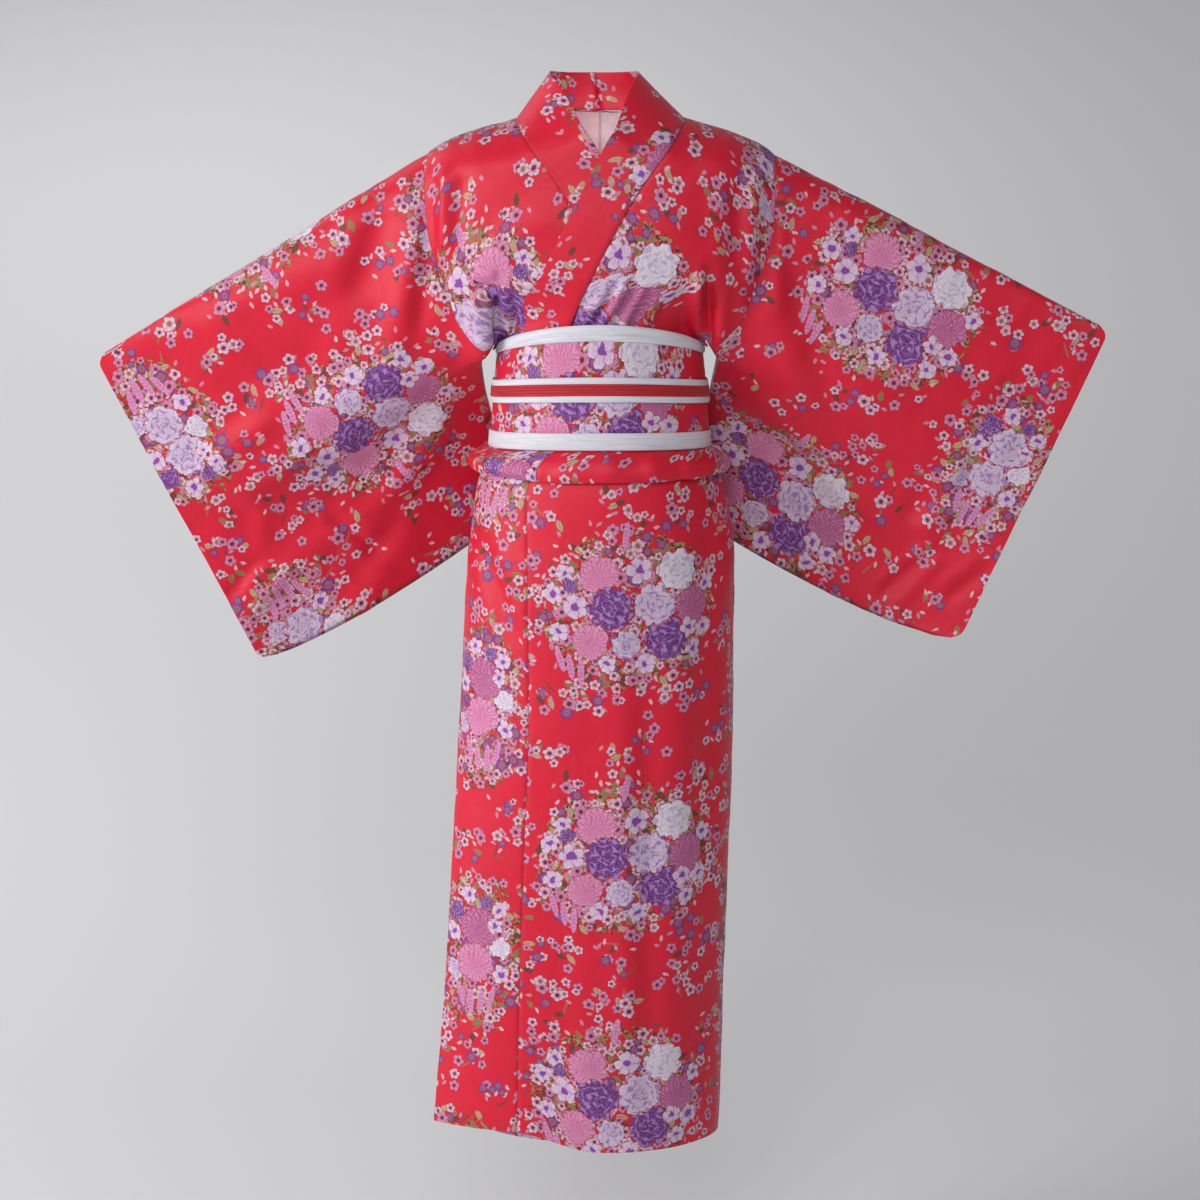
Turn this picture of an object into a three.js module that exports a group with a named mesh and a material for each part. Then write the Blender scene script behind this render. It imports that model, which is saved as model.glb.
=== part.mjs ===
// A woman's cotton kimono, worn and belted, as a set of thin cloth walls.
// Millimetres, +Z up, +X towards the wearer's left, -Y the way the wearer faces.
// The origin is where the wearer carries it: the middle of the neck, level with the shoulders.
// Every piece is a grid of points on the middle of its cloth, thickened to a closed wall.
// Angles go round the body in degrees: 0 at the front, +90 at the wearer's left, 180 at the back.
import * as THREE from "three";

// ---- driving dimensions ----
const CLOTH = 2; // wall of single cotton
const COLLAR_WALL = 3; // folded collar band
const OBI_WALL = 2.6;
const SEAM = 0.5; // gap between sewn pieces
const COLLAR_SEAM = 1.5; // the collar turns up at its seam, so its wall starts a little further off
const ARMHOLE_SEAM = 1.6; // cloth turns a corner at the armhole, so its gap is wider
const LAP = 5; // how far the left front lies over the right front
const LAP_ENDS = { from: 25, to: 60 }; // angles over which the lap settles into the side
const COLLAR_WIDTH = 58;
const COLLAR_LIFT = 25; // the collar's free edge lies this much higher than its seam

// Shoulder line from the neck outwards, and the height of the round over it.
const SHOULDER = [
  { x: 0, ridge: 42, round: 60 },
  { x: 40, ridge: 37, round: 60 },
  { x: 73, ridge: 24, round: 60 },
  { x: 103, ridge: 9, round: 58 },
  { x: 152, ridge: -5, round: 50 },
  { x: 190, ridge: -20, round: 45 },
  { x: 214, ridge: -36, round: 43 },
  { x: 240, ridge: -55, round: 40 },
];
const NECK_SIDE = 103; // half-width of the neckline on the shoulder
const NECK_BACK_ARC = 63; // degrees down the back of the shoulder to the collar seam
const REST_BACK_ARC = 78;
// Loose bodice above the obi: half-width and angle at its outer edge, depths front and back.
const LOOSE = [
  { z: -250, side: 157, angle: 70, front: 89, back: 91 },
  { z: -225, side: 172, angle: 66, front: 91, back: 92 },
  { z: -190, side: 190, angle: 64, front: 94, back: 93 },
  { z: -115, side: 211, angle: 64, front: 92, back: 92 },
  { z: -50, side: 214, angle: 64, front: 84, back: 86 },
  { z: 0, side: 214, angle: 64, front: 80, back: 84 },
];
// Bodice drawn in under the obi.
const CINCHED = [
  { z: -370, side: 124.5, front: 85.6, back: 88 },
  { z: -231, side: 120, front: 85, back: 87.5 },
];
const CINCH_TOP = { front: -226, drop: 46 }; // where the drawing-in starts, lower at the sides
const CINCH_FLARE = { front: 55, side: 22 }; // height over which it blouses out again
const SIDE_SEAM = { z: -268, angle: 89.7 };
const ARMHOLE_BEND_Z = -238; // below this the armhole runs in towards the side
const SIDE_SAG = { drop: 34, from: 0.402, full: 0.455, fading: 0.5, to: 0.6 }; // cloth over the obi
const BODICE_END = -370; // hidden inside the obi
// Collar seam down the front: from the obi (0) up to where the shoulder starts to round (1).
const NECKLINE = [
  { up: 0, x: -84 },
  { up: 0.2, x: -62 },
  { up: 0.47, x: -26 },
  { up: 0.7, x: 14 },
  { up: 0.86, x: 43 },
  { up: 1, x: 70 },
];
// Free edge of the collar round the neck; turn is degrees round the neckline: 0 on the shoulder
// line, +90 at the middle of the back, -90 where the shoulder round ends in front.
const COLLAR_EDGE = [
  { turn: 90, x: 0, y: 87, z: 55 },
  { turn: 60, x: 31, y: 78, z: 56 },
  { turn: 30, x: 50, y: 52, z: 60 },
  { turn: 0, x: 55, y: 12, z: 64 },
  { turn: -30, x: 43, y: -26, z: 52 },
  { turn: -60, x: 29, y: -54, z: 26 },
  { turn: -90, x: 16, y: -80, z: -3 },
];
const COLLAR_SHIFT = -7; // the neck opening stands a little to the wearer's right

// Outer corners of the sleeves as they hang; side is +1 for the wearer's left.
const SLEEVES = [
  { name: "sleeve_left", side: 1, topX: 628, topZ: -254, lowX: 452, lowZ: -663 },
  { name: "sleeve_right", side: -1, topX: 623, topZ: -289, lowX: 429, lowZ: -686 },
];
// Free inner edge of a sleeve below the armhole: its front and back cloth.
const SLEEVE_FREE_EDGE = [
  { z: -276, x: 147, front: -23, back: 25 },
  { z: -300, x: 144, front: 0, back: 42 },
  { z: -330, x: 139, front: 32, back: 60 },
  { z: -367, x: 134, front: 62, back: 80 },
  { z: -410, x: 128, front: 86, back: 98 },
  { z: -460, x: 119, front: 101, back: 108 },
  { z: -505, x: 108, front: 112, back: 112 },
];
const FREE_EDGE_STATIONS = [-295, -325, -362, -408, -458, -494];
const SLEEVE_BELLY = 14; // how far its bottom edge hangs below a straight line
// Soft folds across a sleeve: height share where each leaves the body and reaches the cuff.
const SLEEVE_FOLDS = [
  { from: 0.34, to: 0.62, width: 0.07, out: 5 },
  { from: 0.6, to: 0.86, width: 0.06, out: 6 },
  { from: 0.78, to: 1.1, width: 0.06, out: 5 },
];
const CUFF_Y = 8; // the cuff hangs a little behind the shoulder line
const CUFF_LEAN = 24; // and its lower corner further back
const CUFF_HALF_GAP = 9;
const CUFF_OPEN_SHARE = 0.52; // how much of the cuff is the hand opening
const SEWN_HALF_GAP = 1.4; // front and back cloth where the cuff is sewn shut
const SLEEVE_CORNER = { from: 0.95, length: 0.02 }; // rounded lower corner
const SLEEVE_LENGTHS = [0, 0.1, 0.28, 0.52, 0.76, 0.92, 1];

// Skirt: half-widths and depths of the wrapped tube, and the free edge of the over lap.
const SKIRT = [
  { z: -404, left: 136, right: 130, lapX: 131, lapAngle: 88, front: 92.5, back: 98 },
  { z: -440, left: 152, right: 145, lapX: 146, lapAngle: 87, front: 101, back: 107 },
  { z: -545, left: 168, right: 155, lapX: 159, lapAngle: 84, front: 105, back: 113 },
  { z: -726, left: 168, right: 160, lapX: 170, lapAngle: 78, front: 104, back: 111 },
  { z: -924, left: 163, right: 161, lapX: 182, lapAngle: 72, front: 100, back: 107 },
  { z: -1126, left: 157, right: 162, lapX: 196, lapAngle: 67, front: 96, back: 103 },
  { z: -1297, left: 153, right: 163, lapX: 210, lapAngle: 62, front: 93, back: 100 },
];
const SKIRT_STATIONS = [-404, -422, -440, -500, -600, -740, -900, -1060, -1190, -1297];
const HEM_LIFT = { rise: 25, from: 0, to: -110 }; // the lapping corner is carried higher
const INNER_HEM_LIFT = 12; // the under front stays out of sight
// x of the seam between the over front and its overlap panel.
const OVERLAP_SEAM = [
  { z: -404, x: -74 },
  { z: -440, x: -88 },
  { z: -700, x: -87 },
  { z: -900, x: -94 },
  { z: -1100, x: -101 },
  { z: -1297, x: -105 },
];
const UNDER_SEAM_ANGLE = 32; // the same seam on the under front
const UNDER_EDGE_ANGLE = 74; // free edge of the under front
// Degrees between a seam and the cloth beside it, at the sides and in front or behind.
const SIDE_HALF_GAP = 0.14;
const MIDDLE_HALF_GAP = 0.095;
// Soft falls in the skirt's sides and back, deepest at the hem.
const SKIRT_FALLS = [
  { angle: -150, width: 17, out: 5 },
  { angle: -118, width: 14, out: 4 },
  { angle: 112, width: 13, out: 4 },
  { angle: 148, width: 18, out: 5 },
];

// Tuck of cloth folded over under the obi: rings from its outer top, round the fold, to its inner top.
const TUCK = [
  { z: -386, side: 131, front: 92, back: 92 },
  { z: -396, side: 131.6, front: 92.6, back: 92.6 },
  { z: -401, side: 143, front: 101, back: 102 },
  { z: -410, side: 156, front: 109.5, back: 112.5 },
  { z: -418, side: 161, front: 113, back: 116.3 },
  { z: -426, side: 161.5, front: 114, back: 117 },
  { z: -432, side: 160, front: 113, back: 115.5 },
  { z: -434.5, side: 157.5, front: 110.8, back: 113.3 },
  { z: -429, side: 155.5, front: 109, back: 111.5 },
  { z: -417, side: 149.5, front: 105.4, back: 105.6 },
  { z: -405, side: 140.5, front: 100.6, back: 100.4 },
];
const TUCK_SEAM_ANGLE = -29;

// Obi: height at the front and size of the oval; its drop from there to the sides, by share of its height.
const OBI_TOP = { z: -231, side: 129.3, front: 94.6, back: 94.6 };
const OBI_LOW = { z: -384, side: 135.2, front: 95.6, back: 95.6 };
const OBI_DROPS = [
  { share: 0, drop: 42 },
  { share: 0.12, drop: 32 },
  { share: 0.41, drop: 20.5 },
  { share: 0.6, drop: 17.5 },
  { share: 0.86, drop: 14 },
  { share: 1, drop: 13 },
];
const OBI_SHOWN_LOW = 0.985; // the printed band ends inside the lower belt
// Belts round it, as shares of the obi's height; out is to the middle of the belt's own wall.
const BELTS = [
  { name: "sash_upper", top: -0.012, low: 0.118, out: 2.8, wall: 2.4, white: true },
  { name: "cord_edge_upper", top: 0.412, low: 0.459, out: 2.8, wall: 2.4, white: true },
  { name: "obi_cord", top: 0.463, low: 0.556, out: 3.3, wall: 3.4, white: false },
  { name: "cord_edge_lower", top: 0.56, low: 0.607, out: 2.8, wall: 2.4, white: true },
  { name: "belt_lower", top: 0.862, low: 1.0, out: 2.8, wall: 2.4, white: true },
];
const BELT_COLUMNS = 32;
// ---- helpers ----
const { degToRad, radToDeg, lerp, clamp, smoothstep } = THREE.MathUtils;
const sin = (degrees) => Math.sin(degToRad(degrees));
const cos = (degrees) => Math.cos(degToRad(degrees));
const asin = (share) => radToDeg(Math.asin(clamp(share, -1, 1)));
const point = (x, y, z) => new THREE.Vector3(x, y, z);
const between = (a, b, n) => Array.from({ length: n + 1 }, (_, i) => lerp(a, b, i / n));

// A smooth curve through a table: the value of column `key` where column `by` reads a number.
function curve(rows, by, key) {
  const sorted = [...rows].sort((a, b) => a[by] - b[by]);
  const x = sorted.map((row) => row[by]);
  const y = sorted.map((row) => row[key]);
  const last = x.length - 1;
  const rise = (i) => (y[i + 1] - y[i]) / (x[i + 1] - x[i]);
  const slope = x.map((_, i) => {
    if (i === 0) return rise(0);
    if (i === last) return rise(last - 1);
    const before = rise(i - 1);
    const after = rise(i);
    return before * after <= 0 ? 0 : (2 * before * after) / (before + after);
  });
  return (value) => {
    const at = clamp(value, x[0], x[last]);
    let i = 0;
    while (i < last - 1 && at > x[i + 1]) i += 1;
    const span = x[i + 1] - x[i];
    const t = (at - x[i]) / span;
    const t2 = t * t;
    const t3 = t2 * t;
    const start = (2 * t3 - 3 * t2 + 1) * y[i] + (t3 - 2 * t2 + t) * span * slope[i];
    const end = (3 * t2 - 2 * t3) * y[i + 1] + (t3 - t2) * span * slope[i + 1];
    return start + end;
  };
}

// Cloth normals of a grid of middle points; round says that its columns close into a ring.
function gridNormals(grid, round) {
  const rows = grid.length;
  const cols = grid[0].length;
  return grid.map((line, i) =>
    line.map((_, j) => {
      const left = round ? (j + cols - 1) % cols : Math.max(j - 1, 0);
      const right = round ? (j + 1) % cols : Math.min(j + 1, cols - 1);
      const along = line[right].clone().sub(line[left]);
      const down = grid[Math.min(i + 1, rows - 1)][j].clone().sub(grid[Math.max(i - 1, 0)][j]);
      return along.cross(down).normalize();
    }),
  );
}

// A closed wall of even thickness on a grid of middle points.
function wall(grid, thickness, round = false) {
  const rows = grid.length;
  const cols = grid[0].length;
  const normals = gridNormals(grid, round);
  const vertices = [];
  for (const side of [0.5, -0.5])
    grid.forEach((line, i) =>
      line.forEach((p, j) => {
        const moved = p.clone().addScaledVector(normals[i][j], side * thickness);
        vertices.push(moved.x, moved.y, moved.z);
      }),
    );
  const at = (face, i, j) => face * rows * cols + i * cols + (j % cols);
  const faces = [];
  const quad = (a, b, c, d) => faces.push(a, b, c, a, c, d);
  const spans = round ? cols : cols - 1;
  const end = cols - 1;
  for (let i = 0; i < rows - 1; i += 1)
    for (let j = 0; j < spans; j += 1) {
      quad(at(0, i, j), at(0, i, j + 1), at(0, i + 1, j + 1), at(0, i + 1, j));
      quad(at(1, i, j), at(1, i + 1, j), at(1, i + 1, j + 1), at(1, i, j + 1));
    }
  for (let j = 0; j < spans; j += 1) {
    quad(at(0, 0, j), at(1, 0, j), at(1, 0, j + 1), at(0, 0, j + 1));
    quad(at(0, rows - 1, j + 1), at(1, rows - 1, j + 1), at(1, rows - 1, j), at(0, rows - 1, j));
  }
  for (let i = 0; i < rows - 1 && !round; i += 1) {
    quad(at(0, i + 1, 0), at(1, i + 1, 0), at(1, i, 0), at(0, i, 0));
    quad(at(0, i, end), at(1, i, end), at(1, i + 1, end), at(0, i + 1, end));
  }
  const geometry = new THREE.BufferGeometry();
  geometry.setAttribute("position", new THREE.Float32BufferAttribute(vertices, 3));
  geometry.setIndex(faces);
  geometry.computeVertexNormals();
  return geometry;
}

// Mirrors a grid to the wearer's other side, keeping its cloth facing out.
const mirrored = (grid) => grid.map((line) => line.map((p) => point(-p.x, p.y, p.z)).reverse());

// A point on an oval round the body, moved out along the oval's own normal.
function onOval(side, front, back, angle, z, out = 0) {
  const depth = Math.abs(angle) < 90 ? front : back;
  const normal = point(sin(angle) / side, -cos(angle) / depth, 0).setLength(out);
  return point(side * sin(angle), -depth * cos(angle), z).add(normal);
}

// How far out the lapped layers lie: the over layer by LAP in front, the under layer by less at the side.
const lapEnd = (angle) => smoothstep(angle, LAP_ENDS.from, LAP_ENDS.to);
const overOut = (angle) => LAP * (1 - lapEnd(angle));
const underOut = (angle) => -LAP * lapEnd(angle);

const COTTON = { color: 0xc81f30, roughness: 0.6, metalness: 0 };
const CORD_RED = { color: 0xa81f2a, roughness: 0.55, metalness: 0 };
const WHITE = { color: 0xe6e6ee, roughness: 0.6, metalness: 0 };
const kimono = new THREE.Group();
function add(name, geometry, material = COTTON) {
  const mesh = new THREE.Mesh(geometry, new THREE.MeshStandardMaterial(material));
  mesh.name = name;
  kimono.add(mesh);
}

// ---- bodice: one cloth each side, from the obi up over the shoulder and down the back ----
const loose = {
  side: curve(LOOSE, "z", "side"),
  angle: curve(LOOSE, "z", "angle"),
  front: curve(LOOSE, "z", "front"),
  back: curve(LOOSE, "z", "back"),
};
const cinched = {
  side: curve(CINCHED, "z", "side"),
  front: curve(CINCHED, "z", "front"),
  back: curve(CINCHED, "z", "back"),
};
const ridge = curve(SHOULDER, "x", "ridge");
const shoulderRound = curve(SHOULDER, "x", "round");
const necklineX = curve(NECKLINE, "up", "x");
const SHOULDER_WIDTH = loose.side(0) / sin(loose.angle(0));

// How much the sides take part in the drawing-in and the sag above it.
const sideShare = (angle) => sin(angle) ** 6;

// Half-width and depths of the bodice's oval at a height and angle.
function bodiceOval(z, angle) {
  const cinchTop = CINCH_TOP.front - CINCH_TOP.drop * sideShare(angle);
  const flare = lerp(CINCH_FLARE.front, CINCH_FLARE.side, sideShare(angle));
  const free = smoothstep(z, cinchTop, cinchTop + flare);
  const mix = (tight, slack) => lerp(tight, slack, free);
  return {
    free,
    side: mix(cinched.side(z), loose.side(z) / sin(loose.angle(z))),
    front: mix(cinched.front(z), loose.front(z)),
    back: mix(cinched.back(z), loose.back(z)),
  };
}

// Height where the straight fall of the bodice ends and the round over the shoulder starts.
function shoulderStart(angle) {
  const x = Math.abs(SHOULDER_WIDTH * sin(angle));
  return ridge(x) - shoulderRound(x);
}

// A point of the falling part; up is 0 at the obi and 1 at the shoulder.
function fallPoint(angle, up, facing, out) {
  const z = lerp(BODICE_END, shoulderStart(angle), up);
  const oval = bodiceOval(z, angle);
  const turned = facing < 0 ? angle : 180 - angle;
  const hangs = smoothstep(up, SIDE_SAG.from, SIDE_SAG.full) - smoothstep(up, SIDE_SAG.fading, SIDE_SAG.to);
  const sag = SIDE_SAG.drop * sideShare(angle) * oval.free * hangs;
  return onOval(oval.side, oval.front, oval.back, turned, z - sag, out);
}

// A point of the round over the shoulder; arc is 0 on the ridge and 90 where the fall begins.
function roundPoint(angle, arc, facing, out) {
  const foot = fallPoint(angle, 1, facing, out);
  const height = shoulderRound(Math.abs(SHOULDER_WIDTH * sin(angle)));
  return point(foot.x, foot.y * sin(arc), foot.z + height * cos(arc));
}

// The angle at which the bodice reaches x on a given row.
function angleAtX(x, up) {
  let angle = asin(x / SHOULDER_WIDTH);
  for (let turn = 0; turn < 12; turn += 1) {
    const z = lerp(BODICE_END, shoulderStart(angle), up);
    angle = asin(x / bodiceOval(z, angle).side);
  }
  return angle;
}

const FALL_UPS = [0, 0.16, 0.3, 0.35, 0.4, 0.455, 0.495, 0.54, 0.59, 0.7, 0.85, 1];
const ARMHOLE_LOW_UP = 0.455; // the row that ends at the bottom of the armhole
const ROUND_ARCS = [67.5, 45, 22.5];
const NECK_TURNS = [0, 22.5, 45, 67.5, 90];
// Each row of the bodice knows where its inner edge is and how to place a point at any angle.
const frontRows = FALL_UPS.map((up) => ({
  up,
  inner: angleAtX(necklineX(up), up),
  place: (angle, out) => fallPoint(angle, up, -1, out),
}));
const overRows = ROUND_ARCS.map((arc) => ({
  arc,
  inner: asin(lerp(NECK_SIDE, necklineX(1), 1 - cos(arc)) / SHOULDER_WIDTH),
  place: (angle, out) => roundPoint(angle, arc, -1, out),
}));
const neckRows = NECK_TURNS.map((turn) => {
  const arc = asin(sin(NECK_BACK_ARC) * sin(turn));
  const inner = asin((NECK_SIDE * cos(turn)) / SHOULDER_WIDTH);
  return { arc, inner, place: (angle) => roundPoint(angle, arc, 1, 0) };
});
const restRow = { arc: REST_BACK_ARC, inner: 0, place: (angle) => roundPoint(angle, REST_BACK_ARC, 1, 0) };
const backRows = [...FALL_UPS]
  .reverse()
  .map((up) => ({ up, inner: 0, place: (angle) => fallPoint(angle, up, 1, 0) }));
const bodiceRows = [...frontRows, ...overRows, ...neckRows, restRow, ...backRows];

// Outer edge of a row: the armhole, and below it the side seam.
function outerAngle(row) {
  if (row.up === undefined) return loose.angle(0);
  const z = lerp(BODICE_END, shoulderStart(loose.angle(0)), row.up);
  const below = 1 - smoothstep(z, SIDE_SEAM.z, ARMHOLE_BEND_Z);
  return lerp(loose.angle(z), SIDE_SEAM.angle, below);
}

const BODICE_COLUMNS = 7;
function bodiceGrid(outAt) {
  return bodiceRows.map((row) => {
    const seam = radToDeg(SEAM / SHOULDER_WIDTH);
    const angles = between(row.inner + seam, outerAngle(row), BODICE_COLUMNS);
    return angles.map((angle) => row.place(angle, outAt(angle)));
  });
}
const upsideDown = (grid) => [...grid].reverse();
add("body_left", wall(upsideDown(bodiceGrid(overOut)), CLOTH));
add("body_right", wall(upsideDown(mirrored(bodiceGrid((angle) => underOut(-angle)))), CLOTH));

// ---- collar: from inside the obi, round the neck, to the middle of the back ----
const collarEdge = {
  x: curve(COLLAR_EDGE, "turn", "x"),
  y: curve(COLLAR_EDGE, "turn", "y"),
  z: curve(COLLAR_EDGE, "turn", "z"),
};
const COLLAR_RISE = 0.5; // its thicker wall lies on the same under side as the bodice

// Each station places a point of the collar between its seam (0) and its free edge (1).
function collarStations(outAt, side) {
  const onFront = FALL_UPS.map((up) => {
    const angle = angleAtX(necklineX(up), up);
    const fall = shoulderStart(angle) - BODICE_END;
    const oval = bodiceOval(BODICE_END + up * fall, angle);
    const across = Math.sqrt(COLLAR_WIDTH ** 2 - COLLAR_LIFT ** 2);
    const turned = radToDeg(across / Math.hypot(oval.side * cos(angle), oval.front * sin(angle)));
    return (share) => {
      const at = angle - turned * share;
      return fallPoint(at, up + (COLLAR_LIFT / fall) * share, -1, outAt(at) + COLLAR_RISE);
    };
  });
  const edgePoint = (turn) => {
    const shift = side * COLLAR_SHIFT * smoothstep(turn, -100, 0);
    return point(collarEdge.x(turn) + shift, collarEdge.y(turn), collarEdge.z(turn));
  };
  const overShoulder = ROUND_ARCS.map((arc) => {
    const angle = asin(lerp(NECK_SIDE, necklineX(1), 1 - cos(arc)) / SHOULDER_WIDTH);
    const seam = roundPoint(angle, arc, -1, outAt(angle) + COLLAR_RISE);
    return (share) => seam.clone().lerp(edgePoint(-arc), share);
  });
  const roundNeck = NECK_TURNS.map((turn) => {
    const arc = asin(sin(NECK_BACK_ARC) * sin(turn));
    const seam = roundPoint(asin((NECK_SIDE * cos(turn)) / SHOULDER_WIDTH), arc, 1, 0);
    return (share) => seam.clone().lerp(edgePoint(turn), share);
  });
  return [...onFront, ...overShoulder, ...roundNeck];
}

const COLLAR_SPANS = 4;
function collarGrid(outAt, side) {
  const shares = between(COLLAR_SEAM / COLLAR_WIDTH, 1, COLLAR_SPANS);
  const grid = shares.map((share) => collarStations(outAt, side).map((station) => station(share)));
  for (const line of grid) line.at(-1).x += SEAM;
  return grid;
}
const lapless = (angle) => underOut(-angle);
add("collar_left", wall(collarGrid(overOut, 1), COLLAR_WALL));
add("collar_right", wall(mirrored(collarGrid(lapless, -1)), COLLAR_WALL));

// ---- sleeves: a flat bag each, its inner end sewn to the armhole and free below it ----
const freeEdge = {
  x: curve(SLEEVE_FREE_EDGE, "z", "x"),
  front: curve(SLEEVE_FREE_EDGE, "z", "front"),
  back: curve(SLEEVE_FREE_EDGE, "z", "back"),
};
const SLEEVE_LOW_Z = SLEEVE_FREE_EDGE.at(-1).z;
const SLEEVE_TOP = roundPoint(loose.angle(0), 0, 1, 0);

// Points of the inner end round the bag: top fold, down the front, bottom seam, up the back.
function sleeveInnerEnd(outAt) {
  const sewn = (rows, out) =>
    rows.map((row) => {
      const turned = row.up === undefined ? 0 : 1 - smoothstep(row.up, 0.5, 0.65);
      const away = point(1, 0, -turned).setLength(ARMHOLE_SEAM);
      return row.place(outerAngle(row), out).add(away);
    });
  const isSewn = (row) => row.up === undefined || row.up >= ARMHOLE_LOW_UP;
  const frontSewn = sewn([...frontRows.filter(isSewn), ...overRows].reverse(), outAt(loose.angle(0)));
  const backSewn = sewn([...neckRows.slice(1), restRow, ...backRows.filter(isSewn)], 0);
  const freeAt = (z, key) => point(freeEdge.x(z) + ARMHOLE_SEAM, freeEdge[key](z), z);
  const free = (key) => FREE_EDGE_STATIONS.map((z) => freeAt(z, key));
  const low = point(freeEdge.x(SLEEVE_LOW_Z), freeEdge.front(SLEEVE_LOW_Z), SLEEVE_LOW_Z);
  const top = SLEEVE_TOP.clone().add(point(ARMHOLE_SEAM, 0, 0));
  const front = [...frontSewn, ...free("front")].map((p) => ({ p, facing: -1 }));
  const back = [...backSewn, ...free("back")].map((p) => ({ p, facing: 1 })).reverse();
  return [{ p: top, facing: 0 }, ...front, { p: low, facing: 0 }, ...back];
}

// How far forward both cloths stand at a place along and down the sleeve.
function sleeveFold(length, down) {
  return SLEEVE_FOLDS.reduce((sum, fold) => {
    const away = (down - lerp(fold.from, fold.to, length)) / fold.width;
    return sum + fold.out * Math.exp(-away * away);
  }, 0);
}

function sleeveGrid(sleeve, outAt) {
  const inner = sleeveInnerEnd(outAt);
  const cuff = inner.map(({ p, facing }) => {
    const down = (SLEEVE_TOP.z - p.z) / (SLEEVE_TOP.z - SLEEVE_LOW_Z);
    const open = 1 - smoothstep(down, CUFF_OPEN_SHARE - 0.04, CUFF_OPEN_SHARE + 0.06);
    const halfGap = lerp(SEWN_HALF_GAP, CUFF_HALF_GAP, open);
    const x = lerp(sleeve.topX, sleeve.lowX, down);
    const y = CUFF_Y + CUFF_LEAN * down + facing * halfGap;
    const corner = clamp((down - SLEEVE_CORNER.from) / (1 - SLEEVE_CORNER.from), 0, 1);
    const reach = 1 - SLEEVE_CORNER.length * (1 - Math.sqrt(1 - corner ** 2));
    return { end: point(x, y, lerp(sleeve.topZ, sleeve.lowZ, down)), reach, down };
  });
  return SLEEVE_LENGTHS.map((length) =>
    inner.map(({ p }, j) => {
      const { end, reach, down } = cuff[j];
      const loosened = 4 * length * (1 - length);
      const hang = point(0, -sleeveFold(length, down), -SLEEVE_BELLY * down ** 4).multiplyScalar(loosened);
      return p.clone().lerp(end, length * reach).add(hang);
    }),
  );
}
const sleeveOut = { sleeve_left: overOut, sleeve_right: (angle) => underOut(-angle) };
for (const sleeve of SLEEVES) {
  const grid = sleeveGrid(sleeve, sleeveOut[sleeve.name]);
  add(sleeve.name, wall(sleeve.side > 0 ? upsideDown(grid) : upsideDown(mirrored(grid)), CLOTH, true));
}

// ---- skirt ----
const skirt = Object.fromEntries(
  ["left", "right", "lapX", "lapAngle", "front", "back"].map((key) => [key, curve(SKIRT, "z", key)]),
);
const overlapSeamX = curve(OVERLAP_SEAM, "z", "x");

function fallsOut(angle, z) {
  const low = smoothstep(-z, 520, 1297);
  return SKIRT_FALLS.reduce((sum, fall) => {
    const away = (angle - fall.angle) / fall.width;
    return sum + fall.out * low * Math.exp(-away * away);
  }, 0);
}

// Heights of a column: the stations stretched down to that column's hem.
const skirtZ = (station, lift) => station + lift * smoothstep(-station, 900, 1297);

// The base tube, which the under front and the backs lie on.
function tubePoint(angle, station, out, lift = 0) {
  const z = skirtZ(station, lift);
  const side = angle > 0 ? skirt.left(z) : skirt.right(z);
  return onOval(side, skirt.front(z), skirt.back(z), angle, z, out + fallsOut(angle, z));
}

// The over front and its panel: on the wearer's right the oval is wider, out to the flaring lap.
function overPoint(angle, station) {
  const wide = skirt.lapX(station) / sin(skirt.lapAngle(station));
  const side = angle > 0 ? skirt.left(station) : wide;
  const x = side * sin(angle);
  const lift = HEM_LIFT.rise * smoothstep(-x, -HEM_LIFT.from, -HEM_LIFT.to);
  const z = skirtZ(station, lift);
  return onOval(side, skirt.front(z), skirt.back(z), angle, z, overOut(angle));
}

const grown = (stations, columns, place) =>
  stations.map((station) => columns.map((share) => place(share, station)));
const skirtPanel = (columns, place) =>
  wall(grown(SKIRT_STATIONS, between(0, 1, columns), place), CLOTH);

add(
  "skirt_back_left",
  skirtPanel(7, (share, z) => tubePoint(lerp(90 + SIDE_HALF_GAP, 180 - MIDDLE_HALF_GAP, share), z, 0)),
);
add(
  "skirt_back_right",
  skirtPanel(7, (share, z) => tubePoint(lerp(-180 + MIDDLE_HALF_GAP, -90 - SIDE_HALF_GAP, share), z, 0)),
);
// Angle of the seam between the over front and its panel.
function overSeamAngle(z) {
  return asin((overlapSeamX(z) * sin(skirt.lapAngle(z))) / skirt.lapX(z));
}
add(
  "skirt_front_left",
  skirtPanel(10, (share, z) => {
    const seam = overSeamAngle(z) + MIDDLE_HALF_GAP;
    return overPoint(lerp(seam, 90 - SIDE_HALF_GAP, share), z);
  }),
);
add(
  "overlap_left",
  skirtPanel(6, (share, z) => {
    const seam = overSeamAngle(z) - MIDDLE_HALF_GAP;
    return overPoint(lerp(-skirt.lapAngle(z), seam, share), z);
  }),
);
const underPoint = (angle, z) => tubePoint(angle, z, underOut(angle), INNER_HEM_LIFT);
const underSeam = { right: UNDER_SEAM_ANGLE - MIDDLE_HALF_GAP, left: UNDER_SEAM_ANGLE + MIDDLE_HALF_GAP };
add(
  "skirt_front_right",
  skirtPanel(10, (share, z) => underPoint(lerp(-90 + SIDE_HALF_GAP, underSeam.right, share), z)),
);
add(
  "overlap_right",
  skirtPanel(4, (share, z) => underPoint(lerp(underSeam.left, UNDER_EDGE_ANGLE, share), z)),
);

// ---- tuck, obi and belts ----
const frontShare = (angle) => Math.max(cos(angle), 0) ** 1.25;
const obiDrop = curve(OBI_DROPS, "share", "drop");

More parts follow.
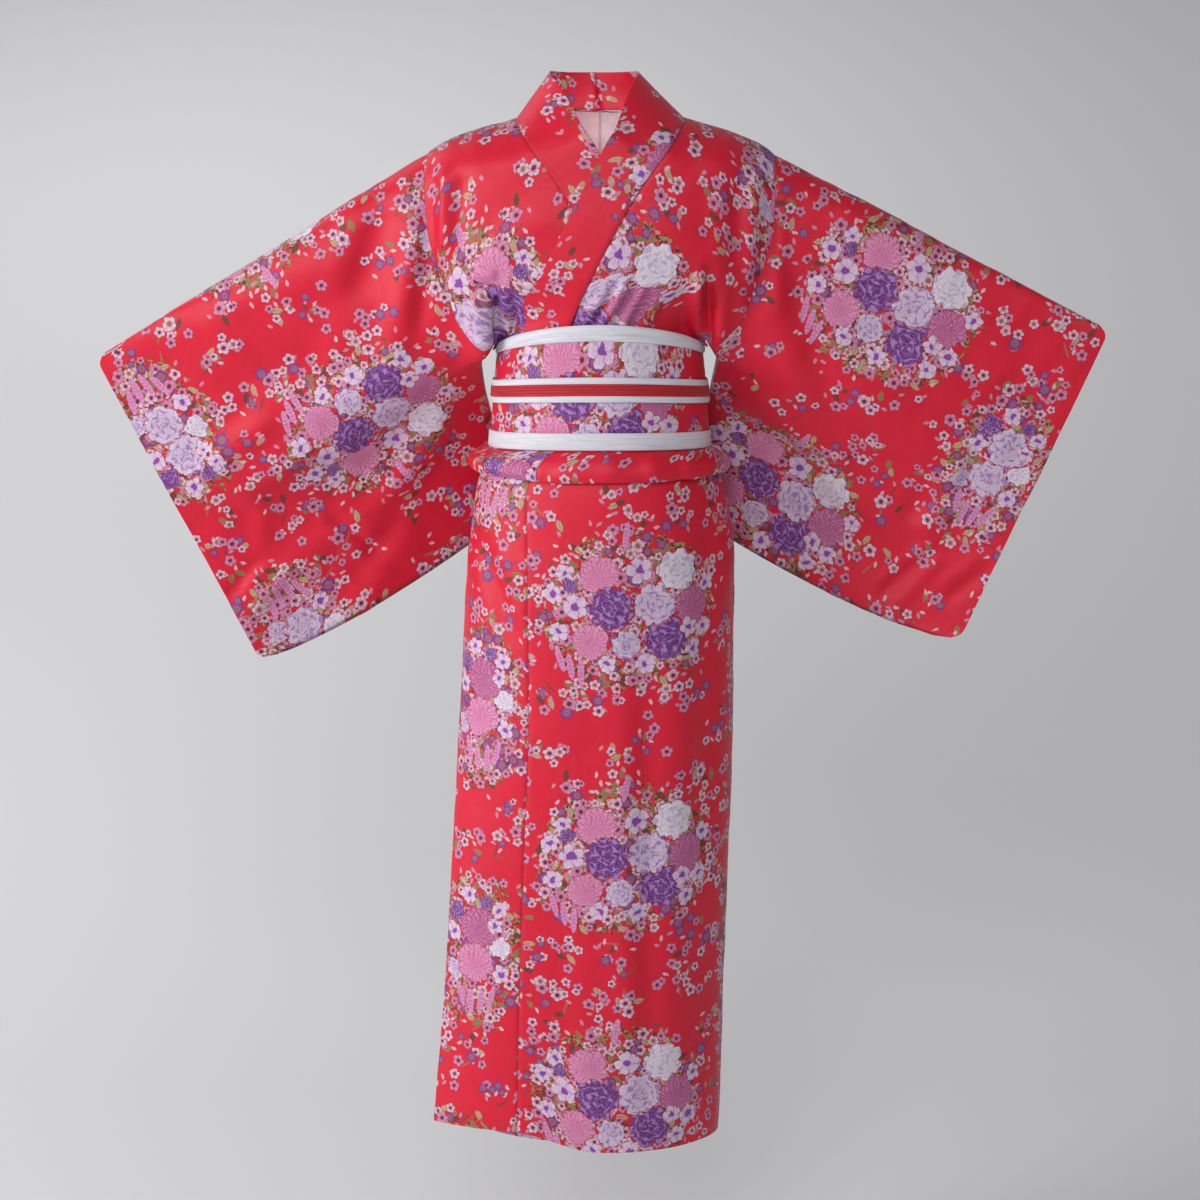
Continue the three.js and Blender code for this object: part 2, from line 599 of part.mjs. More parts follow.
function tuckPoint(ring, angle) {
  const z = ring.z + obiDrop(1) * frontShare(angle);
  return onOval(ring.side, ring.front, ring.back, angle, z);
}
function tuckPanel(from, to, columns) {
  const angles = between(from, to, columns);
  return wall(TUCK.map((ring) => angles.map((angle) => tuckPoint(ring, angle))), CLOTH);
}
add("tuck_back", tuckPanel(90 + SIDE_HALF_GAP, 270 - SIDE_HALF_GAP, 14));
add("tuck_front", tuckPanel(TUCK_SEAM_ANGLE + MIDDLE_HALF_GAP, 90 - SIDE_HALF_GAP, 9));
add("tuck_overlap", tuckPanel(-90 + SIDE_HALF_GAP, TUCK_SEAM_ANGLE - MIDDLE_HALF_GAP, 5));

function obiPoint(angle, share, out) {
  const size = (key) => lerp(OBI_TOP[key], OBI_LOW[key], share);
  const z = size("z") - obiDrop(share) * (1 - frontShare(angle));
  return onOval(size("side"), size("front"), size("back"), angle, z, out);
}
const ringAngles = between(-180, 180, BELT_COLUMNS).slice(0, -1);
const ring = (shares, out, thickness) =>
  wall(shares.map((share) => ringAngles.map((angle) => obiPoint(angle, share, out))), thickness, true);
add("obi_band", ring([0, 0.5, OBI_SHOWN_LOW], 0, OBI_WALL));
for (const belt of BELTS)
  add(belt.name, ring([belt.top, belt.low], belt.out, belt.wall), belt.white ? WHITE : CORD_RED);

export default kimono;
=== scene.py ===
import math

import bpy
import numpy as np
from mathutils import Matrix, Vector


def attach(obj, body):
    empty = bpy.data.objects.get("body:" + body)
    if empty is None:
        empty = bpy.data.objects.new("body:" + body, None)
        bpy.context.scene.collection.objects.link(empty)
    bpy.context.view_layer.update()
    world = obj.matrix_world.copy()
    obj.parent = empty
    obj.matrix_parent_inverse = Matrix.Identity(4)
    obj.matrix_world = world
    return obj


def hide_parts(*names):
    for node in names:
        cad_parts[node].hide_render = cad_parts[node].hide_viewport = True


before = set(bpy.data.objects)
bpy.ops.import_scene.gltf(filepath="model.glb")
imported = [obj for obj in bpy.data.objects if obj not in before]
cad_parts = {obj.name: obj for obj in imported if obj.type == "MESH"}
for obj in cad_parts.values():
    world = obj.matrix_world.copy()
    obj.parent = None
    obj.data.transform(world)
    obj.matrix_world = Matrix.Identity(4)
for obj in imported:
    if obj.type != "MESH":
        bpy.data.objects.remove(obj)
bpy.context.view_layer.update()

MM = 0.001

# ---- the garment's own sizes, in millimetres, as in the solids ----
# Each table is read through smooth curves by its first column.
LAP = 5.0
LAP_ENDS = (25, 60)
COLLAR_WIDTH = 58
COLLAR_LIFT = 25
COLLAR_RISE = 0.5
COLLAR_SHIFT = -7
NECK_SIDE = 103
NECK_BACK_ARC = 63
BODICE_END = -370
CINCH_TOP, CINCH_DROP = -226, 46
FLARE_FRONT, FLARE_SIDE = 55, 22
SIDE_SEAM_Z, SIDE_SEAM_ANGLE = -268, 89.7
ARMHOLE_BEND_Z = -238
SIDE_SAG = 34
SIDE_SAG_UPS = (0.402, 0.455, 0.5, 0.6)
ARMHOLE_LOW_UP = 0.455
# The shoulder: x, height of its ridge, height of its round.
SHOULDER = [
    (0, 42, 60), (40, 37, 60), (73, 24, 60), (103, 9, 58),
    (152, -5, 50), (190, -20, 45), (214, -36, 43), (240, -55, 40),
]
# The bodice where it hangs free: z, side, the armhole's angle, front, back.
LOOSE = [
    (-250, 157, 70, 89, 91), (-225, 172, 66, 91, 92), (-190, 190, 64, 94, 93),
    (-115, 211, 64, 92, 92), (-50, 214, 64, 84, 86), (0, 214, 64, 80, 84),
]
# The bodice inside the obi: z, side, front, back.
CINCHED = [(-370, 124.5, 85.6, 88), (-231, 120, 85, 87.5)]
# The neck's edge on the front: share of the height, x.
NECKLINE = [(0, -84), (0.2, -62), (0.47, -26), (0.7, 14), (0.86, 43), (1, 70)]
# The collar's free edge round the neck: turn, x, y, z.
COLLAR_EDGE = [
    (90, 0, 87, 55), (60, 31, 78, 56), (30, 50, 52, 60), (0, 55, 12, 64),
    (-30, 43, -26, 52), (-60, 29, -54, 26), (-90, 16, -80, -3),
]
# The cuff's top and low corners on each side: x, z.
SLEEVE_CORNERS = {1: ((628, -254), (452, -663)), -1: ((623, -289), (429, -686))}
# The sleeve's inner edge below the armhole: z, x, front, back.
SLEEVE_FREE_EDGE = [
    (-276, 147, -23, 25), (-300, 144, 0, 42), (-330, 139, 32, 60), (-367, 134, 62, 80),
    (-410, 128, 86, 98), (-460, 119, 101, 108), (-505, 108, 112, 112),
]
SLEEVE_BELLY = 14
# Long folds of a sleeve: height at the armhole and at the cuff as shares, width, out.
SLEEVE_FOLDS = [(0.34, 0.62, 0.07, 5), (0.6, 0.86, 0.06, 6), (0.78, 1.1, 0.06, 5)]
CUFF_Y, CUFF_LEAN, CUFF_HALF_GAP = 8, 24, 9
CUFF_OPENING = (0.48, 0.58)
SLEEVE_LENGTH = 450
SEWN_HALF_GAP = 0.8
CORNER_FROM, CORNER_LENGTH = 0.95, 0.02
# The skirt: z, left side, right side, the lap's x and angle, front, back.
SKIRT = [
    (-404, 136, 130, 131, 88, 92.5, 98), (-440, 152, 145, 146, 87, 101, 107),
    (-545, 168, 155, 159, 84, 105, 113), (-726, 168, 160, 170, 78, 104, 111),
    (-924, 163, 161, 182, 72, 100, 107), (-1126, 157, 162, 196, 67, 96, 103),
    (-1297, 153, 163, 210, 62, 93, 100),
]
SKIRT_TOP, HEM = -404, -1297
FALLS_START, HEM_CURVE_START = 520, 900
HEM_RISE, HEM_RISE_X = 25, 110
INNER_HEM_LIFT = 12
# The left overlap's seam: z, x.
OVERLAP_SEAM = [(-404, -74), (-440, -88), (-700, -87), (-900, -94), (-1100, -101), (-1297, -105)]
UNDER_OVERLAP_ANGLES = (32, 74)
# Where the skirt falls outwards: angle, width, out.
SKIRT_FALLS = [(-150, 17, 5), (-118, 14, 4), (112, 13, 4), (148, 18, 5)]
# The tuck's rings, down from the obi, round its low edge and up behind: z, side, front, back.
TUCK = [
    (-386, 131, 92, 92), (-396, 131.6, 92.6, 92.6), (-401, 143, 101, 102),
    (-410, 156, 109.5, 112.5), (-418, 161, 113, 116.3), (-426, 161.5, 114, 117),
    (-432, 160, 113, 115.5), (-434.5, 157.5, 110.8, 113.3), (-429, 155.5, 109, 111.5),
    (-417, 149.5, 105.4, 105.6), (-405, 140.5, 100.6, 100.4),
]
TUCK_SEAM_ANGLE = -29
TUCK_SEAM_BEND, TUCK_BEND_RINGS = 9, 5
TUCK_RISE = (9, 6)
TUCK_HANGING, TUCK_RISING = (392, 426), (60, 155)
TUCK_POINT, TUCK_POINT_X, TUCK_POINT_Z, TUCK_POINT_HEIGHT = 3.0, (120, 156), -414, 8
# The obi at its edges: z, side, front and back.
OBI_TOP = (-231, 129.3, 94.6)
OBI_LOW = (-384, 135.2, 95.6)
# How far the obi's front lies below its sides: share of its height, drop.
OBI_DROPS = [(0, 42), (0.12, 32), (0.41, 20.5), (0.6, 17.5), (0.86, 14), (1, 13)]


# ---- small helpers ----
def sin(degrees):
    return np.sin(np.radians(degrees))


def cos(degrees):
    return np.cos(np.radians(degrees))


def asin(share):
    return np.degrees(np.arcsin(np.clip(share, -1, 1)))


def lerp(a, b, t):
    return a + (b - a) * t


def smoothstep(value, low, high):
    t = np.clip((value - low) / (high - low), 0, 1)
    return t * t * (3 - 2 * t)


def bell(distance, width):
    """1 at a distance of nought, fading evenly to both sides over about the width."""
    return np.exp(-((distance / width) ** 2))


def points(x, y, z):
    x, y, z = np.broadcast_arrays(x, y, z)
    return np.stack([x, y, z], -1).astype(float)


def curves(rows):
    """A smooth curve for each further column of a table, read by its first column."""
    table = np.array(sorted(rows), float)
    x = table[:, 0]

    def column(y):
        rise = np.diff(y) / np.diff(x)
        slope = np.empty_like(y)
        slope[0], slope[-1] = rise[0], rise[-1]
        before, after = rise[:-1], rise[1:]
        total = before + after
        same = before * after > 0
        slope[1:-1] = np.where(same, 2 * before * after / np.where(same, total, 1), 0)

        def read(value):
            at = np.clip(np.asarray(value, float), x[0], x[-1])
            i = np.clip(np.searchsorted(x, at, side="left") - 1, 0, len(x) - 2)
            span = x[i + 1] - x[i]
            t = (at - x[i]) / span
            start = (2 * t**3 - 3 * t**2 + 1) * y[i] + (t**3 - 2 * t**2 + t) * span * slope[i]
            end = (3 * t**2 - 2 * t**3) * y[i + 1] + (t**3 - t**2) * span * slope[i + 1]
            return start + end

        return read

    return [column(table[:, k]) for k in range(1, table.shape[1])]


def on_oval(side, front, back, angle, z, out=0.0):
    """A point on an oval round the body, moved out along the oval's own normal."""
    depth = np.where(np.abs(angle) < 90, front, back)
    across, deep = sin(angle) / side, -cos(angle) / depth
    length = np.hypot(across, deep)
    x = side * sin(angle) + out * across / length
    y = -depth * cos(angle) + out * deep / length
    return points(x, y, z)


def lap_end(angle):
    return smoothstep(angle, *LAP_ENDS)


def over_out(angle):
    return LAP * (1 - lap_end(angle))


def under_out(angle):
    return -LAP * lap_end(angle)


def grid_normals(grid, round_columns=False):
    if round_columns:
        along = np.roll(grid, -1, 1) - np.roll(grid, 1, 1)
    else:
        along = np.gradient(grid, axis=1)
    down = np.gradient(grid, axis=0)
    normal = np.cross(along, down)
    length = np.linalg.norm(normal, axis=-1, keepdims=True)
    return normal / np.maximum(length, 1e-9)


# ---- bodice: one cloth each side, from the obi up over the shoulder and down the back ----
ridge_height, round_height = curves(SHOULDER)
loose_side, loose_angle, loose_front, loose_back = curves(LOOSE)
cinched_side, cinched_front, cinched_back = curves(CINCHED)
(neckline_x,) = curves(NECKLINE)
SHOULDER_WIDTH = float(loose_side(0) / sin(loose_angle(0)))


def side_share(angle):
    return sin(angle) ** 6


def bodice_oval(z, angle):
    start = CINCH_TOP - CINCH_DROP * side_share(angle)
    flare = lerp(FLARE_FRONT, FLARE_SIDE, side_share(angle))
    free = smoothstep(z, start, start + flare)
    side = lerp(cinched_side(z), loose_side(z) / sin(loose_angle(z)), free)
    front = lerp(cinched_front(z), loose_front(z), free)
    back = lerp(cinched_back(z), loose_back(z), free)
    return free, side, front, back


def shoulder_start(angle):
    x = np.abs(SHOULDER_WIDTH * sin(angle))
    return ridge_height(x) - round_height(x)


def fall_point(angle, up, facing, out=0.0):
    """A point of the front (-1) or back (1); up is 0 inside the obi and 1 at the shoulder."""
    z = lerp(BODICE_END, shoulder_start(angle), up)
    free, side, front, back = bodice_oval(z, angle)
    turned = angle if facing < 0 else 180 - angle
    start, full, fading, end = SIDE_SAG_UPS
    hangs = smoothstep(up, start, full) - smoothstep(up, fading, end)
    sag = SIDE_SAG * side_share(angle) * free * hangs
    return on_oval(side, front, back, turned, z - sag, out)


def round_point(angle, arc, facing, out=0.0):
    """A point of the round over the shoulder; arc is 0 on the ridge and 90 where the fall begins."""
    foot = fall_point(angle, 1, facing, out)
    height = round_height(np.abs(SHOULDER_WIDTH * sin(angle)))
    return points(foot[..., 0], foot[..., 1] * sin(arc), foot[..., 2] + height * cos(arc))


def angle_at_x(x, up):
    """The angle at which the bodice reaches out to x, closer with every pass."""
    angle = asin(x / SHOULDER_WIDTH)
    for _ in range(12):
        z = lerp(BODICE_END, shoulder_start(angle), up)
        angle = asin(x / bodice_oval(z, angle)[1])
    return angle


def outer_angle(up):
    """The armhole's angle, and below it the side seam's."""
    z = lerp(BODICE_END, shoulder_start(loose_angle(0)), up)
    below = 1 - smoothstep(z, SIDE_SEAM_Z, ARMHOLE_BEND_Z)
    return lerp(loose_angle(z), SIDE_SEAM_ANGLE, below)


def round_inner(arc):
    return asin(lerp(NECK_SIDE, neckline_x(1), 1 - cos(arc)) / SHOULDER_WIDTH)


FALL_UPS = np.concatenate([[0, 0.12, 0.22], np.linspace(0.3, 1, 110)])
ROUND_ARCS = np.linspace(90, 0, 31)[1:-1]
NECK_TURNS = np.linspace(0, 90, 25)
REST_ARCS = np.linspace(NECK_BACK_ARC, 90, 10)[1:-1]
SHOULDER_ANGLE = float(loose_angle(0))
EDGE_STEPS = np.array([0, 0.7, 1.5, 2.4, 3.6, 5.5, 8])


def neck_at(turn):
    """Angle and arc of the neck's edge, from the shoulder (0) to the middle of the back (90)."""
    return asin(NECK_SIDE * cos(turn) / SHOULDER_WIDTH), asin(sin(NECK_BACK_ARC) * sin(turn))


def placed(point, level, facing):
    """How a row places its points by their angles. The front alone is moved out, where it laps."""
    return lambda angle, out: point(angle, level, facing, out if facing < 0 else 0.0)


def shares_across(width, count):
    """Shares from edge to edge of a panel, close together beside both edges."""
    near = EDGE_STEPS / width
    inside = np.linspace(near[-1], 1 - near[-1], count)[1:-1]
    return np.concatenate([near, inside, 1 - near[::-1]])


# Every row of a body panel: its angles at the neck and outside, and how it places its points.
body_rows = []
for up in FALL_UPS:
    body_rows.append((angle_at_x(neckline_x(up), up), outer_angle(up), placed(fall_point, up, -1)))
for arc in ROUND_ARCS:
    body_rows.append((round_inner(arc), SHOULDER_ANGLE, placed(round_point, arc, -1)))
for turn in NECK_TURNS:
    angle, arc = neck_at(turn)
    body_rows.append((angle, SHOULDER_ANGLE, placed(round_point, arc, 1)))
for arc in REST_ARCS:
    body_rows.append((0.0, SHOULDER_ANGLE, placed(round_point, arc, 1)))
for up in FALL_UPS[::-1]:
    body_rows.append((0.0, outer_angle(up), placed(fall_point, up, 1)))

PANEL_WIDTH = 230
body_shares = shares_across(PANEL_WIDTH, 90)
body_angles = np.array([lerp(inner, outer, body_shares) for inner, outer, _ in body_rows])


def body_grid(out_at):
    return np.array([row[2](angles, out_at(angles)) for angles, row in zip(body_angles, body_rows)])


# ---- collar ----
collar_x, collar_y, collar_z = curves(COLLAR_EDGE)


def collar_grid(out_at, side):
    """Rows all along the collar, each from its seam to its free edge."""
    shares = shares_across(COLLAR_WIDTH, 12)
    across = math.sqrt(COLLAR_WIDTH**2 - COLLAR_LIFT**2)
    rows = []
    for up in FALL_UPS:
        angle = angle_at_x(neckline_x(up), up)
        fall = shoulder_start(angle) - BODICE_END
        _, wide, front, _ = bodice_oval(BODICE_END + up * fall, angle)
        at = angle - np.degrees(across / np.hypot(wide * cos(angle), front * sin(angle))) * shares
        rows.append(fall_point(at, up + COLLAR_LIFT / fall * shares, -1, out_at(at) + COLLAR_RISE))
    seams = []
    for arc in ROUND_ARCS:
        angle = round_inner(arc)
        seams.append((-arc, round_point(angle, arc, -1, out_at(angle) + COLLAR_RISE)))
    for turn in NECK_TURNS:
        seams.append((turn, round_point(*neck_at(turn), 1)))
    for turn, seam in seams:
        shift = side * COLLAR_SHIFT * smoothstep(turn, -100, 0)
        edge = np.array([collar_x(turn) + shift, collar_y(turn), collar_z(turn)])
        rows.append(lerp(seam, edge, shares[:, None]))
    return np.array(rows)


# ---- sleeves ----
edge_x, edge_front, edge_back = curves(SLEEVE_FREE_EDGE)
SLEEVE_LOW = SLEEVE_FREE_EDGE[-1][0]
SLEEVE_TOP = round_point(SHOULDER_ANGLE, 0, 1)


def sleeve_inner_end(out_at):
    """Points and facings round the sleeve's inner end: top fold, front, bottom seam, back."""
    arcs = np.linspace(0, 90, 16)[1:-1]
    ups = np.linspace(1, ARMHOLE_LOW_UP, 50)
    below = np.linspace(SLEEVE_FREE_EDGE[0][0], SLEEVE_LOW, 40)[1:-1]

    def wall(facing, out, edge):
        rows = [round_point(SHOULDER_ANGLE, arc, facing, out) for arc in arcs]
        rows += [fall_point(outer_angle(up), up, facing, out) for up in ups]
        return rows + [points(edge_x(z), edge(z), z) for z in below]

    front, back = wall(-1, out_at(SHOULDER_ANGLE), edge_front), wall(1, 0.0, edge_back)
    low = points(edge_x(SLEEVE_LOW), edge_front(SLEEVE_LOW), SLEEVE_LOW)
    ring = np.array([SLEEVE_TOP, *front, low, *back[::-1]])
    facing = np.array([0] + [-1] * len(front) + [0] + [1] * len(back))
    return ring, facing


def sleeve_fold(length, down):
    total = np.zeros(np.broadcast(length, down).shape)
    for start, end, width, out in SLEEVE_FOLDS:
        total += out * bell(down - lerp(start, end, length), width)
    return total


def sleeve_grid(side, out_at):
    """Rows along the sleeve from the armhole to the cuff, columns round it; facing and height of each."""
    ring, facing = sleeve_inner_end(out_at)
    (top_x, top_z), (low_x, low_z) = SLEEVE_CORNERS[side]
    down = (SLEEVE_TOP[2] - ring[:, 2]) / (SLEEVE_TOP[2] - SLEEVE_LOW)
    open_share = 1 - smoothstep(down, *CUFF_OPENING)
    half_gap = lerp(SEWN_HALF_GAP, CUFF_HALF_GAP, open_share)
    end = points(
        lerp(top_x, low_x, down),
        CUFF_Y + CUFF_LEAN * down + facing * half_gap,
        lerp(top_z, low_z, down),
    )
    corner = np.clip((down - CORNER_FROM) / (1 - CORNER_FROM), 0, 1)
    reach = 1 - CORNER_LENGTH * (1 - np.sqrt(1 - corner**2))
    length = shares_across(SLEEVE_LENGTH, 90)[:, None]
    loosened = 4 * length * (1 - length)
    hang = points(0, -sleeve_fold(length, down), -SLEEVE_BELLY * down**4) * loosened[..., None]
    grid = lerp(ring[None], end[None], (length * reach)[..., None]) + hang
    return grid, facing, down


# ---- skirt ----
skirt_left, skirt_right, lap_x, lap_angle, skirt_front, skirt_back = curves(SKIRT)
(overlap_seam_x,) = curves(OVERLAP_SEAM)


def falls_out(angle, z):
    low = smoothstep(-z, FALLS_START, -HEM)
    return sum(out * low * bell(angle - at, width) for at, width, out in SKIRT_FALLS)


def skirt_z(station, lift):
    return station + lift * smoothstep(-station, HEM_CURVE_START, -HEM)


def tube_point(angle, station, out=0.0, lift=0.0):
    z = skirt_z(station, lift)
    side = np.where(angle > 0, skirt_left(z), skirt_right(z))
    return on_oval(side, skirt_front(z), skirt_back(z), angle, z, out + falls_out(angle, z))


def over_point(angle, station):
    wide = lap_x(station) / sin(lap_angle(station))
    side = np.where(angle > 0, skirt_left(station), wide)
    x = side * sin(angle)
    lift = HEM_RISE * smoothstep(-x, 0, HEM_RISE_X)
    z = skirt_z(station, lift)
    return on_oval(side, skirt_front(z), skirt_back(z), angle, z, over_out(angle))


def under_point(angle, station):
    return tube_point(angle, station, under_out(angle), INNER_HEM_LIFT)


def over_edge_angle(z):
    return -lap_angle(z)


def over_seam_angle(z):
    return asin(overlap_seam_x(z) * sin(lap_angle(z)) / lap_x(z))


skirt_rows = SKIRT_TOP - (SKIRT_TOP - HEM) * shares_across(SKIRT_TOP - HEM, 150)


# ---- tuck and obi ----
tuck_z, tuck_side, tuck_front, tuck_back = curves([(i, *row) for i, row in enumerate(TUCK)])
(obi_drop,) = curves(OBI_DROPS)


def front_share(angle):
    return np.maximum(cos(angle), 0) ** 1.25


tuck_rings = np.linspace(0, len(TUCK) - 1, 61)[:, None]
# The seam of the overlap bends towards the middle under the obi.
tuck_seam = TUCK_SEAM_ANGLE + TUCK_SEAM_BEND * (1 - np.clip(tuck_rings / TUCK_BEND_RINGS, 0, 1)) ** 2


def tuck_grid(start, end, count):
    angle = lerp(start, end, shares_across(PANEL_WIDTH, count))
    z = tuck_z(tuck_rings) + obi_drop(1) * front_share(angle)
    turned = np.where(angle > 180, angle - 360, angle)
    grid = on_oval(tuck_side(tuck_rings), tuck_front(tuck_rings), tuck_back(tuck_rings), turned, z)
    # Its hanging edge rises towards both sides, more on the right, where it comes to a point.
    x, z = grid[..., 0], grid[..., 2]
    right, left = [rise * smoothstep(side * x, *TUCK_RISING) for rise, side in zip(TUCK_RISE, (-1, 1))]
    grid[..., 2] += smoothstep(-z, *TUCK_HANGING) * (right + left)
    grid[..., 0] -= TUCK_POINT * smoothstep(-x, *TUCK_POINT_X) * bell(z - TUCK_POINT_Z, TUCK_POINT_HEIGHT)
    return grid


def obi_point(angle, share, out=0.0):
    z, side, deep = (lerp(a, b, share) for a, b in zip(OBI_TOP, OBI_LOW))
    z = z - obi_drop(share) * (1 - front_share(angle))
    return on_oval(side, deep, deep, angle, z, out)


# ---- flat-cloth coordinates, in millimetres ----
def run(grid, axis):
    """Length along a grid's rows (axis 1) or columns (axis 0), from nought at its first point."""
    step = np.linalg.norm(np.diff(grid, axis=axis), axis=-1)
    total = np.cumsum(step, axis=axis)
    return np.insert(total, 0, 0, axis=axis)


def across_from(grid, keys, key):
    """Length along each row from where a rising key, such as the angle, reads a value."""
    length = run(grid, 1)
    keys = np.broadcast_to(keys, length.shape)
    start = np.array([np.interp(key, k, row) for k, row in zip(keys, length)])
    return length - start[:, None]


# ---- folds and seams ----
ONE_WAVE = 6.283
HALF_FADE, POUCH_FADE = (-25, 10), (-12, 20)
# A crease fades in and out along its length, and has a shallow hollow beside it.
CREASE_START, CREASE_END = (-0.08, 0.22), (0.72, 1.08)
CREASE_HOLLOW, CREASE_HOLLOW_AT = 0.55, 1.7
SEAM_DIP, SEAM_SOFT, SEAM_SHADE = 1.15, 2.6, 1.3
PUCKER, PUCKER_LENGTH, PUCKER_REACH = 0.28, 13.0, 11.0


def half(grid, facing):
    """1 on the grid's front (-1) or back (+1) half, and 0 on the other."""
    return smoothstep(grid[..., 1] * facing, *HALF_FADE)


def sag(grid, x, z, reach_x, reach_z, move):
    """The front cloth round a point hangs out and down in a soft pouch."""
    near = bell(grid[..., 0] - x, reach_x) * bell(grid[..., 2] - z, reach_z)
    near = near * (1 - smoothstep(grid[..., 1], *POUCH_FADE))
    return grid + near[..., None] * np.array(move)


def crease(grid, rows, on_side):
    """Soft folds along lines: x, z to x, z, width and height, with their share at each point."""
    total = np.zeros(grid.shape[:2])
    x, z = grid[..., 0], grid[..., 2]
    for x0, z0, x1, z1, width, out in rows:
        reach = math.hypot(x1 - x0, z1 - z0)
        ux, uz = (x1 - x0) / reach, (z1 - z0) / reach
        along = ((x - x0) * ux + (z - z0) * uz) / reach
        away = ((x - x0) * uz - (z - z0) * ux) / width
        fade = smoothstep(along, *CREASE_START) * (1 - smoothstep(along, *CREASE_END))
        profile = bell(away, 1) - CREASE_HOLLOW * bell(away - CREASE_HOLLOW_AT, 1)
        total += out * fade * on_side * profile
    return total


def ripple(grid, size, seed):
    """Uneven soft waves of about one millimetre, none of them in step."""
    total = np.zeros(grid.shape[:2])
    for k in range(5):
        turn = 2.4 * k + seed
        wave = ONE_WAVE / (size * (1 + 0.37 * k))
        direction = np.array([math.cos(turn), 0.6 * math.sin(turn * 1.7), math.sin(turn)])
        bend = 0.9 * np.sin(grid @ (direction[::-1] * wave * 0.6) + seed * 3 + k)
        total += np.sin(grid @ (direction * wave) + bend + 1.7 * k + seed) / (1 + 0.5 * k)
    return total / 2.2


def from_edges(grid):
    """For each edge of a grid: the distance from it and the length along it."""
    across, down = run(grid, 1), run(grid, 0)
    return {
        "first": (across, down),
        "last": (across[:, -1:] - across, down),
        "top": (down, across),
        "bottom": (down[-1:] - down, across),
    }


def seamed(grid, edges):
    """Cloth drawn in along the named edges, with small puckers beside them, and how much painted shade lies
    beside them.
    """
    lift = np.zeros(grid.shape[:2])
    shade = np.zeros(grid.shape[:2])
    distances = from_edges(grid)
    for edge in edges.split():
        away, along = distances[edge]
        wave = np.sin(ONE_WAVE * along / PUCKER_LENGTH + 1.3 * np.sin(along / 47))
        lift -= SEAM_DIP * bell(away, SEAM_SOFT)
        lift += PUCKER * wave * np.exp(-away / PUCKER_REACH) * smoothstep(away, 0, 3)
        # Painted shade beside the seam, darkest at its edge, stands for the shade in its groove.
        shade = np.maximum(shade, bell(away, SEAM_SHADE))
    return lift, shade


def fold_line(grid, edge, at, depth=0.45, width=1.2):
    """A fine groove along an edge, where a turned hem ends under the cloth."""
    away = from_edges(grid)[edge][0]
    return -depth * bell(away - at, width)


# ---- meshes ----
def add_mesh(name, corners, faces, uvs, materials):
    mesh = bpy.data.meshes.new(name)
    mesh.from_pydata(corners.tolist(), [], faces.tolist())
    layer = mesh.uv_layers.new(name="cloth")
    layer.data.foreach_set("uv", uvs.astype(np.float32).ravel())
    mesh.polygons.foreach_set("use_smooth", np.ones(len(faces), dtype=bool))
    for material in materials:
        mesh.materials.append(material)
    piece = bpy.data.objects.new(name, mesh)
    bpy.context.scene.collection.objects.link(piece)
    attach(piece, "root")
    return piece


def facing_out(grid, normals, centre=None):
    """+1 if the grid's normals point away from the body's middle or a given line, or else -1."""
    away = grid - (grid * [0, 0, 1] if centre is None else centre)
    return 1.0 if np.sum(normals * away) > 0 else -1.0


def cloth(
    node, grid, uv, materials, thickness, slot, lift=0.0, seam=None, ring=False, uv_next=None, centre=None
):
    """A piece of cloth on a grid of middle points, moved out by lift, standing for a CAD node."""
    normals = grid_normals(grid, ring)
    side = facing_out(grid, normals, centre)
    lift = np.broadcast_to(lift, grid.shape[:2])
    grid = grid + normals * side * lift[..., None]
    rows, cols = grid.shape[:2]
    spans = cols if ring else cols - 1
    i, j = np.meshgrid(np.arange(rows - 1), np.arange(spans), indexing="ij")
    after = (j + 1) % cols
    faces = np.stack([i * cols + j, i * cols + after, (i + 1) * cols + after, (i + 1) * cols + j], -1)
    following = np.roll(uv, -1, 1) if uv_next is None else uv_next
    corner_uv = np.stack([uv[i, j], following[i, j], following[i + 1, j], uv[i + 1, j]], -2)
    faces, corner_uv = faces.reshape(-1, 4), corner_uv.reshape(-1, 4, 2)
    if side < 0:
        faces, corner_uv = faces[:, ::-1], corner_uv[:, ::-1]
    name = node + "_cloth"
    piece = add_mesh(name, grid.reshape(-1, 3) * MM, faces, corner_uv.reshape(-1, 2) * MM, materials)
    # The seam attribute tells each point how much painted seam shade it gets.
    shade = np.zeros(rows * cols) if seam is None else seam.ravel()
    piece.data.attributes.new("seam", "FLOAT", "POINT").data.foreach_set("value", shade.astype(np.float32))
    if thickness:
        solid = piece.modifiers.new("thickness", "SOLIDIFY")
        solid.thickness = thickness * MM
        solid.offset = 0
        solid.material_offset = 1
        solid.material_offset_rim = 0
    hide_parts(node)
    return piece, grid, normals * side


STITCH_WIDTH, STITCH_HEIGHT = 0.5, 0.3


def stitches(node, line, normals, rise, material, length, gap):
    """Short raised threads along a line on the cloth, tapered at both ends."""
    line = line + normals * rise
    total = run(line, 0)
    corners, faces = [], []

    def at(distance, values):
        return np.array([np.interp(distance, total, values[:, k]) for k in range(3)])

    start = gap
    while start + length < total[-1]:
        a, b = at(start, line), at(start + length, line)
        normal = at(start, normals)
        across = np.cross(b - a, normal)
        across = across / np.linalg.norm(across) * STITCH_WIDTH / 2
        first = len(corners)
        for share, taper in ((0, 0.5), (0.3, 1.0), (0.7, 1.0), (1, 0.5)):
            end = lerp(a, b, share)
            top = end + normal * STITCH_HEIGHT * taper
            corners += [end - across * taper, top, end + across * taper]
        for corner in (0, 1, 3, 4, 6, 7):
            faces.append([first + corner, first + corner + 1, first + corner + 4, first + corner + 3])
        start += length + gap
    faces = np.array(faces)
    piece = add_mesh(node + "_stitches", np.array(corners) * MM, faces, np.zeros((faces.size, 2)), [material])


def mirror(grid):
    return grid * [-1, 1, 1]


